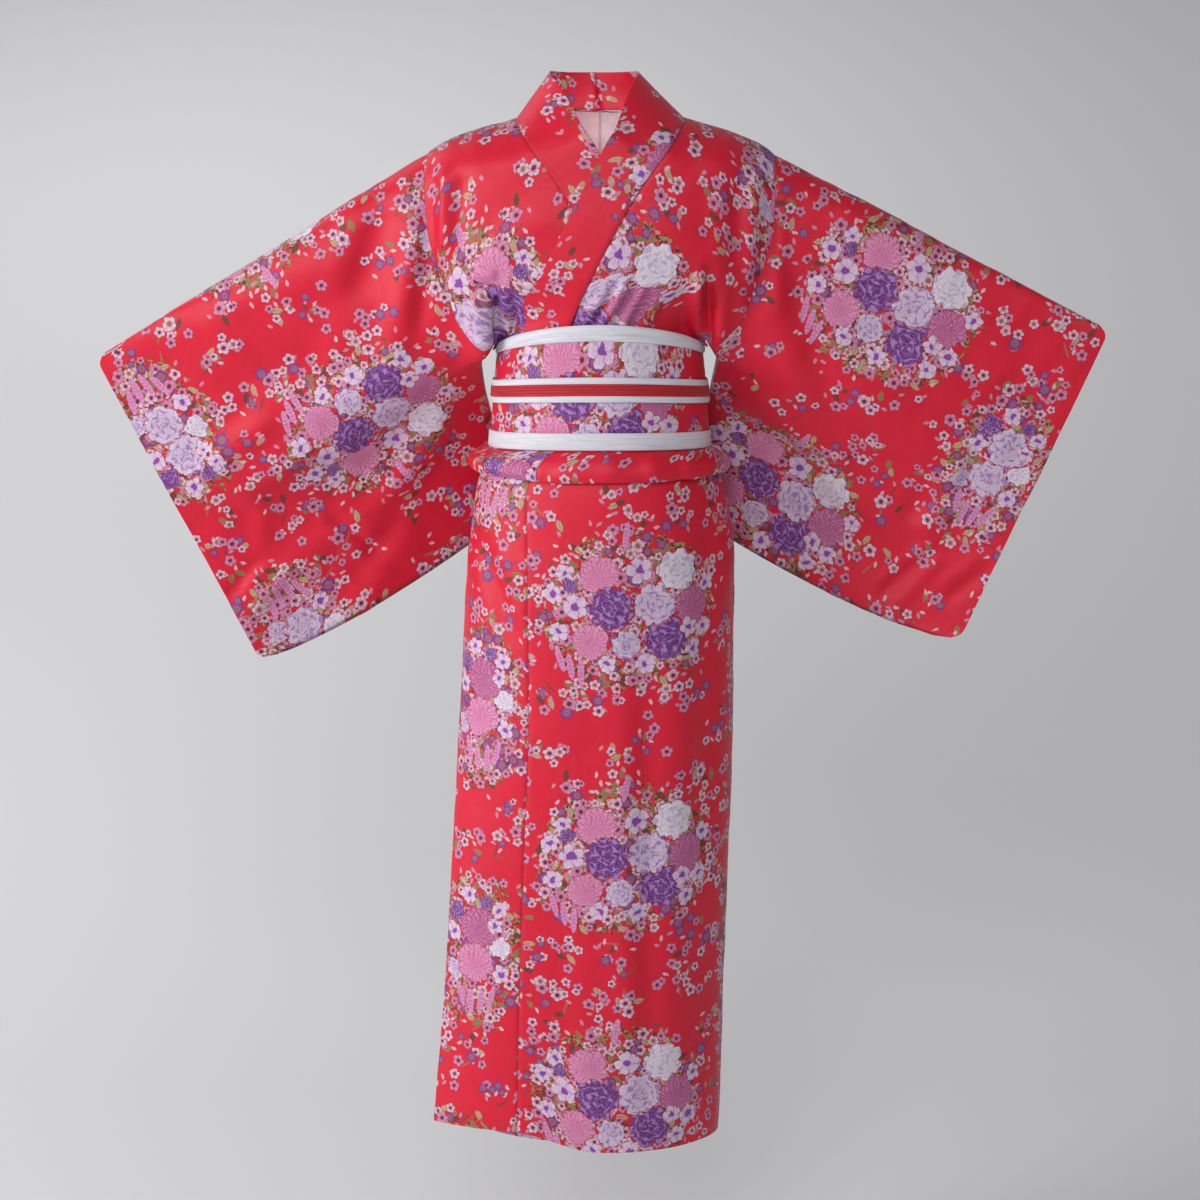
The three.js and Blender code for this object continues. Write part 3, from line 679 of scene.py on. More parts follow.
# ---- node writing: numbers and vectors on their way through a node tree ----
def connect(value, socket, tree):
    if isinstance(value, Value):
        tree.links.new(value.socket, socket)
    else:
        socket.default_value = value


def feed(tree, node, inputs):
    """Sets or links a node's inputs, given in order or by name."""
    for key, value in inputs.items() if isinstance(inputs, dict) else enumerate(inputs):
        connect(value, node.inputs[key], tree)


def add_node(tree, kind, inputs=(), **settings):
    node = tree.nodes.new("ShaderNode" + kind)
    for name, value in settings.items():
        setattr(node, name, value)
    feed(tree, node, inputs)
    return node


class Value:
    """The output of a node, to reckon with."""

    def __init__(self, tree, socket):
        self.tree, self.socket = tree, socket

    def __add__(self, other):
        return self.op("ADD", other)

    def __sub__(self, other):
        return self.op("SUBTRACT", other)

    def __mul__(self, other):
        return self.op("MULTIPLY", other)


class Num(Value):
    def op(self, kind, *others):
        return Num(self.tree, add_node(self.tree, "Math", (self, *others), operation=kind).outputs[0])

    def __truediv__(self, other):
        return self.op("DIVIDE", other)

    def below(self, other):
        return self.op("LESS_THAN", other)

    def smooth(self, low, high, start=0.0, end=1.0):
        inputs = (self, low, high, start, end)
        node = add_node(self.tree, "MapRange", inputs, interpolation_type="SMOOTHSTEP")
        return Num(self.tree, node.outputs[0])


class Vec(Value):
    def op(self, kind, *others, out=0):
        node = add_node(self.tree, "VectorMath", (self, *others), operation=kind)
        return (Num if out else Vec)(self.tree, node.outputs[out])

    def __mul__(self, other):
        return self.op("MULTIPLY", (other,) * 3 if isinstance(other, (int, float)) else other)

    def distance(self, other=(0, 0, 0)):
        return self.op("DISTANCE", other, out=1)

    def dot(self, other):
        return self.op("DOT_PRODUCT", other, out=1)

    def split(self):
        return [Num(self.tree, socket) for socket in add_node(self.tree, "SeparateXYZ", [self]).outputs]


def join(tree, x, y, z=0.0):
    return Vec(tree, add_node(tree, "CombineXYZ", (x, y, z)).outputs[0])


MIX_SOCKETS = {"FLOAT": (2, 3, 0), "VECTOR": (4, 5, 1), "RGBA": (6, 7, 2)}


def mix(share, a, b, kind="RGBA"):
    """a where share is 0, b where it is 1. Colours are written as three numbers."""
    first, second, out = MIX_SOCKETS[kind]
    if kind == "RGBA":
        a, b = [(*colour, 1) if isinstance(colour, tuple) else colour for colour in (a, b)]
    node = add_node(share.tree, "Mix", {0: share}, data_type=kind)
    feed(share.tree, node, {first: a, second: b})
    return (Num if kind == "FLOAT" else Vec)(share.tree, node.outputs[out])


def noise(at, scale, detail=1.0, dimensions="2D"):
    """Smooth noise: its value and its colour as a vector."""
    inputs = {"Vector": at, "Scale": scale, "Detail": detail}
    node = add_node(at.tree, "TexNoise", inputs, noise_dimensions=dimensions)
    return Num(at.tree, node.outputs[0]), Vec(at.tree, node.outputs[1])


def scattered(at, spacing, randomness):
    """One spot in each cell: the way from it, its place and three random numbers of its own."""
    cells = at * (1 / spacing)
    inputs = {"Vector": cells, "Scale": 1, "Randomness": randomness}
    node = add_node(at.tree, "TexVoronoi", inputs, voronoi_dimensions="2D")
    spot = Vec(at.tree, node.outputs["Position"])
    chance = Vec(at.tree, node.outputs["Color"]).split()
    return (cells - spot) * spacing, spot * spacing, chance


def steps(number, colours):
    """One colour for each whole number from nought up."""
    count = len(colours)
    node = add_node(number.tree, "ValToRGB", [(number + 0.5) / count])
    ramp = node.color_ramp
    ramp.interpolation = "CONSTANT"
    while len(ramp.elements) < count:
        ramp.elements.new(0.5)
    for k, colour in enumerate(colours):
        ramp.elements[k].position = k / count
        ramp.elements[k].color = (*colour, 1)
    return Vec(number.tree, node.outputs[0])


# ---- the floral print, in millimetres of flat cloth ----
TURN = 6.28319
RED = (0.66, 0.005, 0.030)
OUTLINE = (0.26, 0.010, 0.024)
STEM = (0.20, 0.045, 0.012)
BED_BROWN, BED_OLIVE = (0.10, 0.018, 0.010), (0.32, 0.25, 0.11)
BLADES = [(0.15, 0.025, 0.01), (0.26, 0.18, 0.07), (0.26, 0.08, 0.02)]
LEAVES = [(0.25, 0.18, 0.06), (0.44, 0.37, 0.20), (0.12, 0.03, 0.01)]
BUDS = [(0.70, 0.50, 0.56), (0.62, 0.26, 0.38)]
VEIN = (0.14, 0.06, 0.01)
BLOSSOM_PALE, BLOSSOM_PURPLE, BLOSSOM_PINK = (0.70, 0.52, 0.61), (0.14, 0.035, 0.27), (0.62, 0.24, 0.38)
BLOSSOM_INSIDE, HEART_OLIVE, HEART_DARK = (0.46, 0.14, 0.26), (0.24, 0.12, 0.02), (0.09, 0.005, 0.035)
PANSY_HEART = (0.22, 0.05, 0.36)
WORN_INK = (0.26, 0.05, 0.14)
# Kinds of large flower, with the colours of each for its petals, their tips and their lines.
WHITE, PINK, ROSE, PURPLE, SPIKE, SNOW, PANSY = range(7)
PETAL = [
    (0.50, 0.37, 0.54), (0.62, 0.18, 0.36), (0.30, 0.035, 0.15), (0.052, 0.004, 0.12),
    (0.58, 0.18, 0.42), (0.64, 0.58, 0.68), (0.56, 0.38, 0.56),
]
TIP = [
    (0.76, 0.68, 0.79), (0.76, 0.36, 0.54), (0.44, 0.10, 0.26), (0.100, 0.012, 0.19),
    (0.76, 0.38, 0.60), (0.82, 0.79, 0.84), (0.80, 0.70, 0.80),
]
LINE = [
    (0.24, 0.13, 0.38), (0.44, 0.07, 0.22), (0.64, 0.27, 0.46), (0.44, 0.26, 0.62),
    (0.40, 0.07, 0.26), (0.42, 0.34, 0.54), (0.42, 0.24, 0.50),
]
# A tenth of the number of lobes round half a flower, and how deep the notches between them are.
LOBES = [
    (0.4, 0.20, 0), (0.9, 0.12, 0), (0.8, 0.12, 0), (0.45, 0.26, 0),
    (0, 0, 0), (0.35, 0.20, 0), (0.25, 0.34, 0),
]
REPEAT = (440.0, 322.0)
# Flowers of the large bouquet, from the lowest layer up: x, y, radius, kind. Spikes: x, y, lean.
LARGE = [
    (-98, 20, 13, PANSY), (-82, 46, 12, PANSY), (-92, -28, 13, PANSY), (96, -28, 13, PANSY),
    (79, -54, 12, PANSY), (16, -70, 13, PANSY), (-32, -68, 12, PANSY), (102, 26, 12, PANSY),
    (10, 50, 17, PANSY), (-40, 44, 26, PINK), (58, 48, 27, SNOW), (-70, 4, 17, PANSY),
    (78, 2, 25, ROSE), (-52, -40, 23, PINK), (-8, -44, 19, WHITE), (42, -38, 29, PURPLE),
    (28, 6, 28, WHITE), (-26, 2, 29, PURPLE), (-76, 31, 10, PURPLE), (72, -26, 12, PANSY),
]
LARGE_SPIKES = [(-90, -62, 16), (-77, -72, 8), (-64, -80, 0), (-6, 94, -8)]
LARGE_REACH = (112, 98)
# The small bouquet stands between the large ones.
SMALL = [
    (-14, 74, 12, PANSY), (30, 60, 11, PANSY), (-36, 22, 13, PANSY), (34, -26, 12, PANSY),
    (-32, 50, 14, PURPLE), (32, 10, 15, SNOW), (-32, -28, 14, WHITE), (2, 34, 27, ROSE),
    (-2, -14, 26, PINK), (12, 68, 9, PURPLE), (24, 38, 10, PANSY),
]
SMALL_SPIKES = [(-20, -58, 16), (-6, -66, 6), (8, -66, -4), (22, -58, -14)]
SMALL_OFFSET, SMALL_REACH = (220.0, -129.0), (64, 100)
SPIKE_WIDTH, SPIKE_LENGTH = 4.3, 18.0
SPRAY_SPACING, SPRAY_SHARE, SPRAY_REACH = 47, 0.90, (11, 12)
STEM_REACH, BED_REACH = 1.12, 1.02


def around(at, centre):
    """Place in the print's repeat, measured from one bouquet's middle."""
    half = (REPEAT[0] / 2, REPEAT[1] / 2, 0)
    return (at - (*centre, 0)).op("WRAP", half, tuple(-h for h in half))


def choose(chosen, local, straight, flowers, spikes):
    """Goes through flowers from the lowest up, and keeps the topmost that covers the point."""
    for x, y, radius, kind in flowers:
        inside = local.distance((x, y, 0)).below(radius)
        own = local.op("MULTIPLY_ADD", (1 / radius,) * 3, (-x / radius, -y / radius, kind))
        chosen = mix(inside, chosen, own, "VECTOR")
    for x, y, lean in spikes:
        c, s = math.cos(math.radians(lean)), math.sin(math.radians(lean))
        moved = straight - (x, y, 0)
        across, along = moved.dot((c, s, 0)) / SPIKE_WIDTH, moved.dot((-s, c, 0)) / SPIKE_LENGTH
        inside = join(local.tree, across, along).distance().below(1.0)
        chosen = mix(inside, chosen, join(local.tree, across, along, float(SPIKE)), "VECTOR")
    return chosen


def polar(x, y):
    return (x * x + y * y).op("SQRT"), y.op("ARCTAN2", x)


def kind_is(kind, *kinds):
    """1 where the kind is one of a few neighbouring ones."""
    middle, reach = sum(kinds) / len(kinds), len(kinds) / 2
    return (kind - middle).op("ABSOLUTE").below(reach)


def waves(angle):
    """A row of round lobes, one for each half wave of the angle."""
    return angle.op("SINE").op("ABSOLUTE")


def big_flowers(chosen, hatch, swirl):
    """Colour and cover of the chosen flower, with the petals of its kind and a stitched grain."""
    x, y, kind = chosen.split()
    radius, angle = polar(x, y)
    # Peonies have uneven rings of curved petals.
    rings = radius * 3.2 + (angle * 2 + kind * 2).op("SINE") * 0.16 + swirl * 1.7
    ring = rings.op("FLOOR")
    within = rings.op("FRACT")
    side = (angle / TURN * (ring * 2 + 3) + ring * 0.5).op("FRACT") - 0.5
    peony = (within + side * side * 2.4).smooth(0.74, 1.0) * swirl.smooth(0.30, 0.46, 0.25, 1.0)
    # Chrysanthemums have narrow petals that fan out from below their middle.
    fan_radius, fan_angle = polar(x, y + 0.3)
    tier = (fan_radius * 3.2).op("FLOOR")
    spoke = (fan_angle * 3.5014 + tier * 0.5).op("FRACT") - 0.5
    fan = spoke.op("ABSOLUTE").smooth(0.22, 0.5)
    # Pansies have five round petals and a dark heart, and spikes a double row of buds.
    pansy = waves(angle * 2.5).smooth(0.5, 0.0)
    buds = (y * 22 + x.op("ABSOLUTE") * 3).op("SINE").smooth(0.3, 0.95) * 0.8
    line = mix(kind_is(kind, PINK, ROSE), peony, fan, "FLOAT")
    line = mix(kind_is(kind, PANSY), line, pansy, "FLOAT")
    line = mix(kind_is(kind, SPIKE), line, buds, "FLOAT")
    line = (line * 0.8).op("MAXIMUM", hatch.smooth(0.52, 0.70) * 0.55)
    tint = mix(radius * 0.5 + hatch * 0.5, steps(kind, PETAL), steps(kind, TIP))
    colour = mix(line, tint, steps(kind, LINE))
    colour = mix(kind_is(kind, PANSY) * radius.below(0.30), colour, PANSY_HEART)
    count, depth, _ = steps(kind, LOBES).split()
    lobe = waves(angle * (count * 10)).op("SQRT") * depth + (depth * -1 + 0.97)
    return mix(radius.below(lobe), OUTLINE, colour), radius.below(lobe + 0.03)


def small_blossoms(at, spacing, density, low, high):
    """Five-petalled blossoms of a size from low to high scattered over the cloth: colour and cover."""
    way, place, chance = scattered(at, spacing, 0.85)
    x, y, _ = way.split()
    distance, angle = polar(x, y)
    radius = distance / (chance[0] * (high - low) + low)
    lobe = waves(angle * 2.5 + chance[1] * 6).op("SQRT") * 0.44 + 0.50
    cover = radius.below(lobe + 0.09) * chance[2].below(density(place))
    shade = (chance[1] * 37).op("FRACT")
    petal = mix(shade.below(0.16), BLOSSOM_PALE, BLOSSOM_PURPLE)
    petal = mix((shade - 0.6).op("ABSOLUTE").below(0.2), petal, BLOSSOM_PINK)
    petal = mix(radius.smooth(0.15, 0.75), BLOSSOM_INSIDE, petal)
    heart = mix(shade.below(0.3), HEART_DARK, HEART_OLIVE)
    colour = mix(radius.below(0.30), petal, heart)
    return mix(radius.below(lobe), OUTLINE, colour), cover


def ovals(at, spacing, density, length, width, colours):
    """Leaves or buds, each turned its own way: colour and cover."""
    way, place, chance = scattered(at, spacing, 0.9)
    turn = chance[0] * TURN
    x, y, _ = way.split()
    c, s = turn.op("COSINE"), turn.op("SINE")
    along = (x * c + y * s) / length
    across = (y * c - x * s).op("ABSOLUTE") / width
    shape = (along * along + across).below(1.0)
    kind = (chance[1] * len(colours)).op("FLOOR")
    colour = mix(across.smooth(0.0, 0.35, 0.35, 0.0), steps(kind, colours), VEIN)
    return colour, shape * chance[2].below(density(place))


def nearness(place):
    """0 in the middle of the nearest bouquet, and 1 at the end of its flowers."""
    bouquets = (((0, 0), LARGE_REACH), (SMALL_OFFSET, SMALL_REACH))
    large, small = [(around(place, at) * (1 / x, 1 / y, 0)).distance() for at, (x, y) in bouquets]
    return large.op("MINIMUM", small)


def sprays(place):
    """Small groups of blossoms away from the bouquets, with plain cloth between."""
    way, _, chance = scattered(place, SPRAY_SPACING, 0.85)
    reach = chance[0] * SPRAY_REACH[1] + SPRAY_REACH[0]
    return way.distance().below(reach) * chance[1].below(SPRAY_SHARE)


def density(start, end, most, in_sprays):
    """How thick a scatter lies: most by the bouquets, fading from start to end, and some in the sprays."""
    return lambda place: nearness(place).smooth(start, end, most, 0.0) + sprays(place) * in_sprays


def floral_print():
    """A node group from the cloth's own coordinates in metres to the print's colour."""
    tree = bpy.data.node_groups.new("floral_print", "ShaderNodeTree")
    tree.interface.new_socket("Cloth", in_out="INPUT", socket_type="NodeSocketVector")
    tree.interface.new_socket("Color", in_out="OUTPUT", socket_type="NodeSocketColor")
    tree.interface.new_socket("Ink", in_out="OUTPUT", socket_type="NodeSocketFloat")
    flat = Vec(tree, tree.nodes.new("NodeGroupInput").outputs[0]) * 1000.0
    # Edges are ragged as if stitched, and the large flowers' outlines are ruffled.
    fine = flat + (noise(flat, 0.5)[1] - (0.5, 0.5, 0.5)) * (2.6, 2.6, 0)
    soft = fine + (noise(flat, 0.085)[1] - (0.5, 0.5, 0.5)) * (9.0, 9.0, 0)
    colour = mix(noise(flat, 0.011, 0.0)[0], RED, tuple(c * 0.92 for c in RED))
    near = nearness(flat)
    # Brown and olive leaves lie thick between the large flowers, with thin stems on them.
    bed = noise(flat, 0.12, 1.0)[0].smooth(0.47, 0.51)
    patches = noise(flat + (40, 70, 0), 0.03)[0].smooth(0.44, 0.5)
    leaf = mix(noise(fine, 0.22)[0].smooth(0.42, 0.58), BED_BROWN, BED_OLIVE)
    colour = mix(near.below(BED_REACH) * patches * bed, colour, leaf)
    swirl = (noise(flat, 0.022, 2.0)[0] * 9).op("FRACT") - 0.5
    stem = swirl.op("ABSOLUTE").below(0.035) * near.below(STEM_REACH)
    colour = mix(stem, colour, STEM)
    ink = stem
    spread, leafy = density(0.8, 1.1, 0.85, 0.66), density(0.78, 1.12, 0.95, 0.3)
    budding = density(0.9, 1.4, 0.5, 0.6)
    layers = [
        ovals(fine + (3, 8, 0), 24, leafy, 13, 1.0, BLADES),
        ovals(fine, 14, leafy, 8.5, 3.6, LEAVES),
        ovals(fine + (7, 3, 0), 13, budding, 4.6, 1.9, BUDS),
        small_blossoms(fine, 15.5, spread, 5.0, 8.0),
        small_blossoms(fine + (9, 11, 0), 22, spread, 6.0, 9.6),
    ]
    chosen = join(tree, 9.0, 9.0, 0.0)
    chosen = choose(chosen, around(soft, SMALL_OFFSET), around(fine, SMALL_OFFSET), SMALL, SMALL_SPIKES)
    # In every other column the small bouquets are white instead of pink.
    x, y, kind = chosen.split()
    column = ((flat.split()[0] - SMALL_OFFSET[0]) / (2 * REPEAT[0]) + 0.25).op("FRACT")
    pale = (column * -1).below(-0.5) * kind_is(kind, PINK, ROSE)
    chosen = join(tree, x, y, kind * (pale * -1 + 1))
    chosen = choose(chosen, around(soft, (0, 0)), around(fine, (0, 0)), LARGE, LARGE_SPIKES)
    layers.append(big_flowers(chosen, noise(flat, 0.62)[0], noise(flat, 0.075)[0]))
    for layer, cover in layers:
        colour = mix(cover, colour, layer)
        ink = ink.op("MAXIMUM", cover)
    # The ink takes unevenly on the threads.
    grain = noise(flat, 0.8)[0].smooth(0.45, 0.66, 0.0, 0.30)
    colour = mix(grain * ink, colour, WORN_INK)
    feed(tree, tree.nodes.new("NodeGroupOutput"), (colour, ink))
    return tree


# ---- materials ----
SEAM_SHADOW = (0.12, 0.004, 0.008)
SLUB_RED, SLUB_PALE = (0.30, 0.01, 0.02), (0.86, 0.66, 0.70)


def material(name, inputs):
    made = bpy.data.materials.new(name)
    made.use_nodes = True
    feed(made.node_tree, made.node_tree.nodes["Principled BSDF"], inputs)
    return made, made.node_tree


def finish_cloth(tree, colour, height, distance, roughness):
    """Gives a material its colour, its roughness and a bump of the given height and depth."""
    inputs = {"Strength": 1, "Distance": distance, "Height": height}
    normal = Vec(tree, add_node(tree, "Bump", inputs).outputs[0])
    inputs = {"Base Color": colour, "Roughness": roughness, "Normal": normal}
    feed(tree, tree.nodes["Principled BSDF"], inputs)


def cloth_uv(tree):
    return Vec(tree, add_node(tree, "UVMap", uv_map="cloth").outputs[0])


def woven(at, pitch):
    """Height of a plain weave: threads over and under, slightly uneven."""
    x, y, _ = (at * (math.pi * 1000 / pitch)).split()
    return x.op("SINE") * y.op("SINE") * 0.5 + noise(at, 1600.0)[0]


def cotton(name, group, cast, cast_share):
    """Printed cotton, with slubs that cast it towards another colour."""
    sheen = {"Sheen Weight": 0.08, "Sheen Roughness": 0.4, "Sheen Tint": (1.0, 0.62, 0.68, 1)}
    made, tree = material(name, {"Specular IOR Level": 0.36, **sheen})
    at = cloth_uv(tree)
    printed = add_node(tree, "Group", [at], node_tree=group)
    colour, ink = Vec(tree, printed.outputs[0]), Num(tree, printed.outputs[1])
    slub = noise(at * (1.0, 0.12, 1.0), 900.0)[0]
    colour = mix(slub.smooth(*cast_share), colour, cast)
    # Painted shade: the colour darkens towards SEAM_SHADOW along seams, where their grooves lie in shade.
    seam = Num(tree, add_node(tree, "Attribute", attribute_name="seam").outputs["Fac"])
    colour = mix(seam * 0.38, colour, SEAM_SHADOW)
    height = woven(at, 0.9) + noise(at, 52.0, 2.0)[0] * 4.0
    finish_cloth(tree, colour, height, 0.00012, ink.smooth(0.0, 1.0, 0.42, 0.55))
    return made


def belt_cloth(name, colour, shade, ribs):
    """A plain woven band with fine lines along it."""
    made, tree = material(name, {"Specular IOR Level": 0.3, "Sheen Weight": 0.1})
    at = cloth_uv(tree)
    streak = noise(at * (0.05, 1.0, 1.0), 420.0, 2.0)[0]
    line = (at.split()[1] * (TURN * 1000 / ribs)).op("SINE") * 0.5 + 0.5
    height = line * 0.5 + streak + woven(at, 0.8) * 0.5
    finish_cloth(tree, mix(streak.smooth(0.35, 0.75, 0.0, 0.5), colour, shade), height, 0.0002, 0.55)
    return made


def thread(name, colour):
    made, tree = material(name, {"Roughness": 0.5})
    place = Vec(tree, add_node(tree, "TexCoord").outputs["Object"])
    shade = noise(place, 700.0, dimensions="3D")[0]
    colour = mix(shade, colour, tuple(c * 0.6 for c in colour))
    connect(colour, tree.nodes["Principled BSDF"].inputs["Base Color"], tree)
    return made


group = floral_print()
printed_cotton = cotton("printed_cotton", group, SLUB_RED, (0.3, 0.75, 0.0, 0.18))
# The print shows through faintly on the wrong side.
wrong_side = cotton("cotton_wrong_side", group, SLUB_PALE, (0.2, 0.8, 0.76, 0.84))
white_cotton = belt_cloth("white_cotton", (0.64, 0.63, 0.68), (0.46, 0.45, 0.52), 1.6)
red_braid = belt_cloth("red_braid", (0.46, 0.012, 0.022), (0.24, 0.004, 0.008), 1.1)
dark_thread = thread("dark_thread", (0.10, 0.006, 0.012))
red_thread = thread("red_thread", (0.34, 0.01, 0.02))


# ---- the pieces ----
CLOTH, SLEEVE_CLOTH, BELT_CLOTH, COLLAR_CLOTH = 1.0, 0.8, 1.4, 2.4
COTTON = [printed_cotton, wrong_side]
COLLAR_EASING = 30
# The print of a body panel is measured from this angle.
PRINT_ANGLE = 40
ARMHOLE_SHARE = 0.25
# Folds die out this close to the armhole, so that the body and the sleeve meet.
ARMHOLE_CALM = 15.0
# Rows of the grids that carry stitches, counted from the edge, with one column of the collar.
CUFF_STITCH_ROW, HEM_STITCH_ROW = -9, -12
COLLAR_STITCHES = (slice(8, -2), 4)
# Folds as x, z to x, z, width and height, in millimetres.
LEFT_FRONT_FOLDS = [
    (-22, -238, 12, -172, 6, 3.6), (-1, -238, 38, -168, 6.5, 4.6), (22, -240, 56, -178, 6, 3.6),
    (50, -242, 74, -196, 7, 2.2), (132, -160, 134, -276, 6.5, -9.0), (118, -170, 114, -262, 8, 3.5),
    (150, -186, 144, -276, 9, 5.0), (188, -46, 180, -190, 9, 4.5), (164, -50, 160, -170, 11, -3.4),
    (60, -95, 150, -150, 20, 2.2),
]
RIGHT_FRONT_FOLDS = [
    (-150, -190, -146, -290, 11, 8.0), (-127, -192, -127, -286, 4.5, -8.0), (-150, -188, -122, -194, 5, -6.0),
    (-152, -168, -124, -172, 9, 5.5), (-118, -186, -110, -262, 7, 5.5), (-96, -200, -84, -250, 7, 3.0),
    (-160, -262, -134, -268, 5, 1.3), (-162, -246, -134, -253, 5, -1.0), (-188, -44, -192, -170, 10, 5.0),
    (-166, -46, -172, -150, 10, -3.8), (-60, -90, -140, -160, 20, 2.2),
]
LEFT_BACK_FOLDS = [
    (24, -236, 40, -160, 8, 2.6), (70, -240, 96, -170, 9, 3.2), (120, -262, 122, -168, 9, -3.8),
    (184, -60, 178, -190, 10, 2.6), (60, -70, 130, -150, 22, 1.6),
]
RIGHT_BACK_FOLDS = [
    (-30, -236, -52, -164, 8, 3.0), (-82, -240, -100, -176, 9, 2.6), (-124, -262, -124, -170, 9, -3.8),
    (-186, -60, -182, -196, 11, 2.8), (-70, -66, -140, -140, 22, 1.4),
]
# Where the slack cloth under each arm hangs over the obi's ends: x, z, reach in x and z, and the way.
LEFT_POUCH = (146, -250, 17, 26, (-4, -6, -20))
RIGHT_POUCH = (-148, -250, 20, 30, (5, -10, -26))


def print_uv(u, v, at, turn=False):
    """Print coordinates with the large bouquet's middle at a point of the flat cloth."""
    uv = np.stack(np.broadcast_arrays(u - at[0], v - at[1]), -1)
    return -uv if turn else uv


def uneven(grid, seed, *waves):
    """Ripples of several heights and lengths."""
    return sum(high * ripple(grid, length, seed + 5 * k) for k, (high, length) in enumerate(waves))


def front_and_back(grid, front_folds, back_folds):
    return crease(grid, front_folds, half(grid, -1)) + crease(grid, back_folds, half(grid, 1))


def body(node, grid, pouch, at, front_folds, back_folds, seed):
    grid = sag(grid, *pouch)
    lift, seam = seamed(grid, "first")
    arm_lift, arm_seam = seamed(grid, "last")
    # The armhole's seam dips and gets painted shade at a quarter of the other seams' strength.
    lift += ARMHOLE_SHARE * arm_lift
    seam = np.maximum(seam, ARMHOLE_SHARE * arm_seam)
    folds = front_and_back(grid, front_folds, back_folds)
    folds += uneven(grid, seed, (1.0, 95), (0.45, 40))
    lift = lift + folds * smoothstep(from_edges(grid)["last"][0], -2, ARMHOLE_CALM)
    # The upright threads stay in planes of their own, and so do the level ones.
    down = run(grid[..., 1:], 0)
    ridge = len(FALL_UPS) + len(ROUND_ARCS)
    uv = print_uv(across_from(grid[..., :2], body_angles, PRINT_ANGLE), down - down[ridge], at)
    return cloth(node, grid, uv, COTTON, CLOTH, "cotton", lift, seam)


def lapped_under(angle):
    return under_out(-angle)


body("body_left", body_grid(over_out), LEFT_POUCH, (-134, -256), LEFT_FRONT_FOLDS, LEFT_BACK_FOLDS, 0.3)
right_grid = mirror(body_grid(lapped_under))
body("body_right", right_grid, RIGHT_POUCH, (28, -236 + REPEAT[1]), RIGHT_FRONT_FOLDS, RIGHT_BACK_FOLDS, 1.9)


def eased(grid, times):
    """A grid with the bends along its columns softened."""
    for _ in range(times):
        grid = grid.copy()
        grid[1:-1] = (grid[:-2] + 2 * grid[1:-1] + grid[2:]) / 4
    return grid


def collar(node, grid, at, seed):
    grid = eased(grid, COLLAR_EASING)
    lift, seam = seamed(grid, "first")
    lift = lift * 0.5 + uneven(grid, seed, (0.5, 70))
    uv = print_uv(run(grid, 1), run(grid, 0), at)
    _, grid, normals = cloth(node, grid, uv, [printed_cotton] * 2, COLLAR_CLOTH, "cotton", lift, seam)
    stitches(node, grid[COLLAR_STITCHES], normals[COLLAR_STITCHES], 1.25, dark_thread, 3.4, 3.2)


collar("collar_left", collar_grid(over_out, 1), (-86, 60 - 2 * REPEAT[1]), 0.7)
collar("collar_right", mirror(collar_grid(lapped_under, -1)), (-96, 210 - REPEAT[1]), 2.7)

# Folds on the sleeves' fronts and, shifted a little, on their backs.
LEFT_SLEEVE_FOLDS = [
    (250, -130, 520, -262, 26, 4.0), (176, -330, 330, -440, 20, 6.5), (190, -400, 300, -560, 16, 5.5),
    (430, -440, 390, -600, 13, 7.0), (470, -400, 440, -580, 12, -5.0), (330, -300, 520, -330, 26, 4.5),
    (250, -470, 370, -610, 14, 6.5), (226, -150, 300, -380, 22, -6.0), (208, -60, 222, -230, 13, 5.0),
    (352, -584, 430, -520, 7, 6.5), (376, -602, 448, -548, 6, -5.0), (380, -500, 452, -540, 6, 3.0),
    (252, -440, 388, -520, 15, 5.0), (300, -520, 330, -590, 12, -4.0),
]
RIGHT_SLEEVE_FOLDS = [
    (-176, -340, -340, -596, 20, 7.0), (-210, -420, -375, -560, 15, 5.5), (-300, -150, -520, -262, 26, 4.5),
    (-230, -500, -300, -600, 14, 6.0), (-400, -360, -500, -430, 18, 5.5), (-222, -70, -262, -330, 20, 4.0),
    (-196, -90, -226, -260, 12, -5.0), (-420, -480, -450, -640, 14, 6.5), (-330, -280, -470, -330, 30, -5.0),
    (-300, -400, -420, -420, 18, 4.5), (-420, -590, -380, -640, 6, 4.0), (-340, -560, -300, -600, 6, 3.5),
    (-262, -84, -304, -220, 17, -4.5), (-316, -540, -200, -462, 17, 5.5),
]
# Creases that run through both walls of a sleeve, near the corner of its cuff.
LEFT_SLEEVE_BENDS = [
    (404, -550, 350, -606, 7, -3.6), (430, -548, 372, -618, 8, 3.4), (496, -556, 428, -612, 10, -4.0),
    (470, -470, 380, -520, 14, 3.0),
]
RIGHT_SLEEVE_BENDS = [
    (-474, -604, -420, -540, 8, -3.4), (-446, -628, -384, -552, 9, 3.4), (-344, -490, -280, -548, 10, -3.4),
    (-520, -430, -420, -470, 14, 3.0),
]
SLEEVE_HOLLOW = 9.0
TOP_ROUND = 13.0
CUFF_HEM, SKIRT_HEM = 9, 17
# Folds of the sleeves need this much room between the walls, and die out towards the cuff's top.
FOLD_ROOM, FOLDS_END = 14, (625, 560)
# The inner edge stands clear of the obi round this height, over this length of the sleeve.
CLEAR_Z, CLEAR_HEIGHT, CLEAR_LENGTH = -335, 48, 80


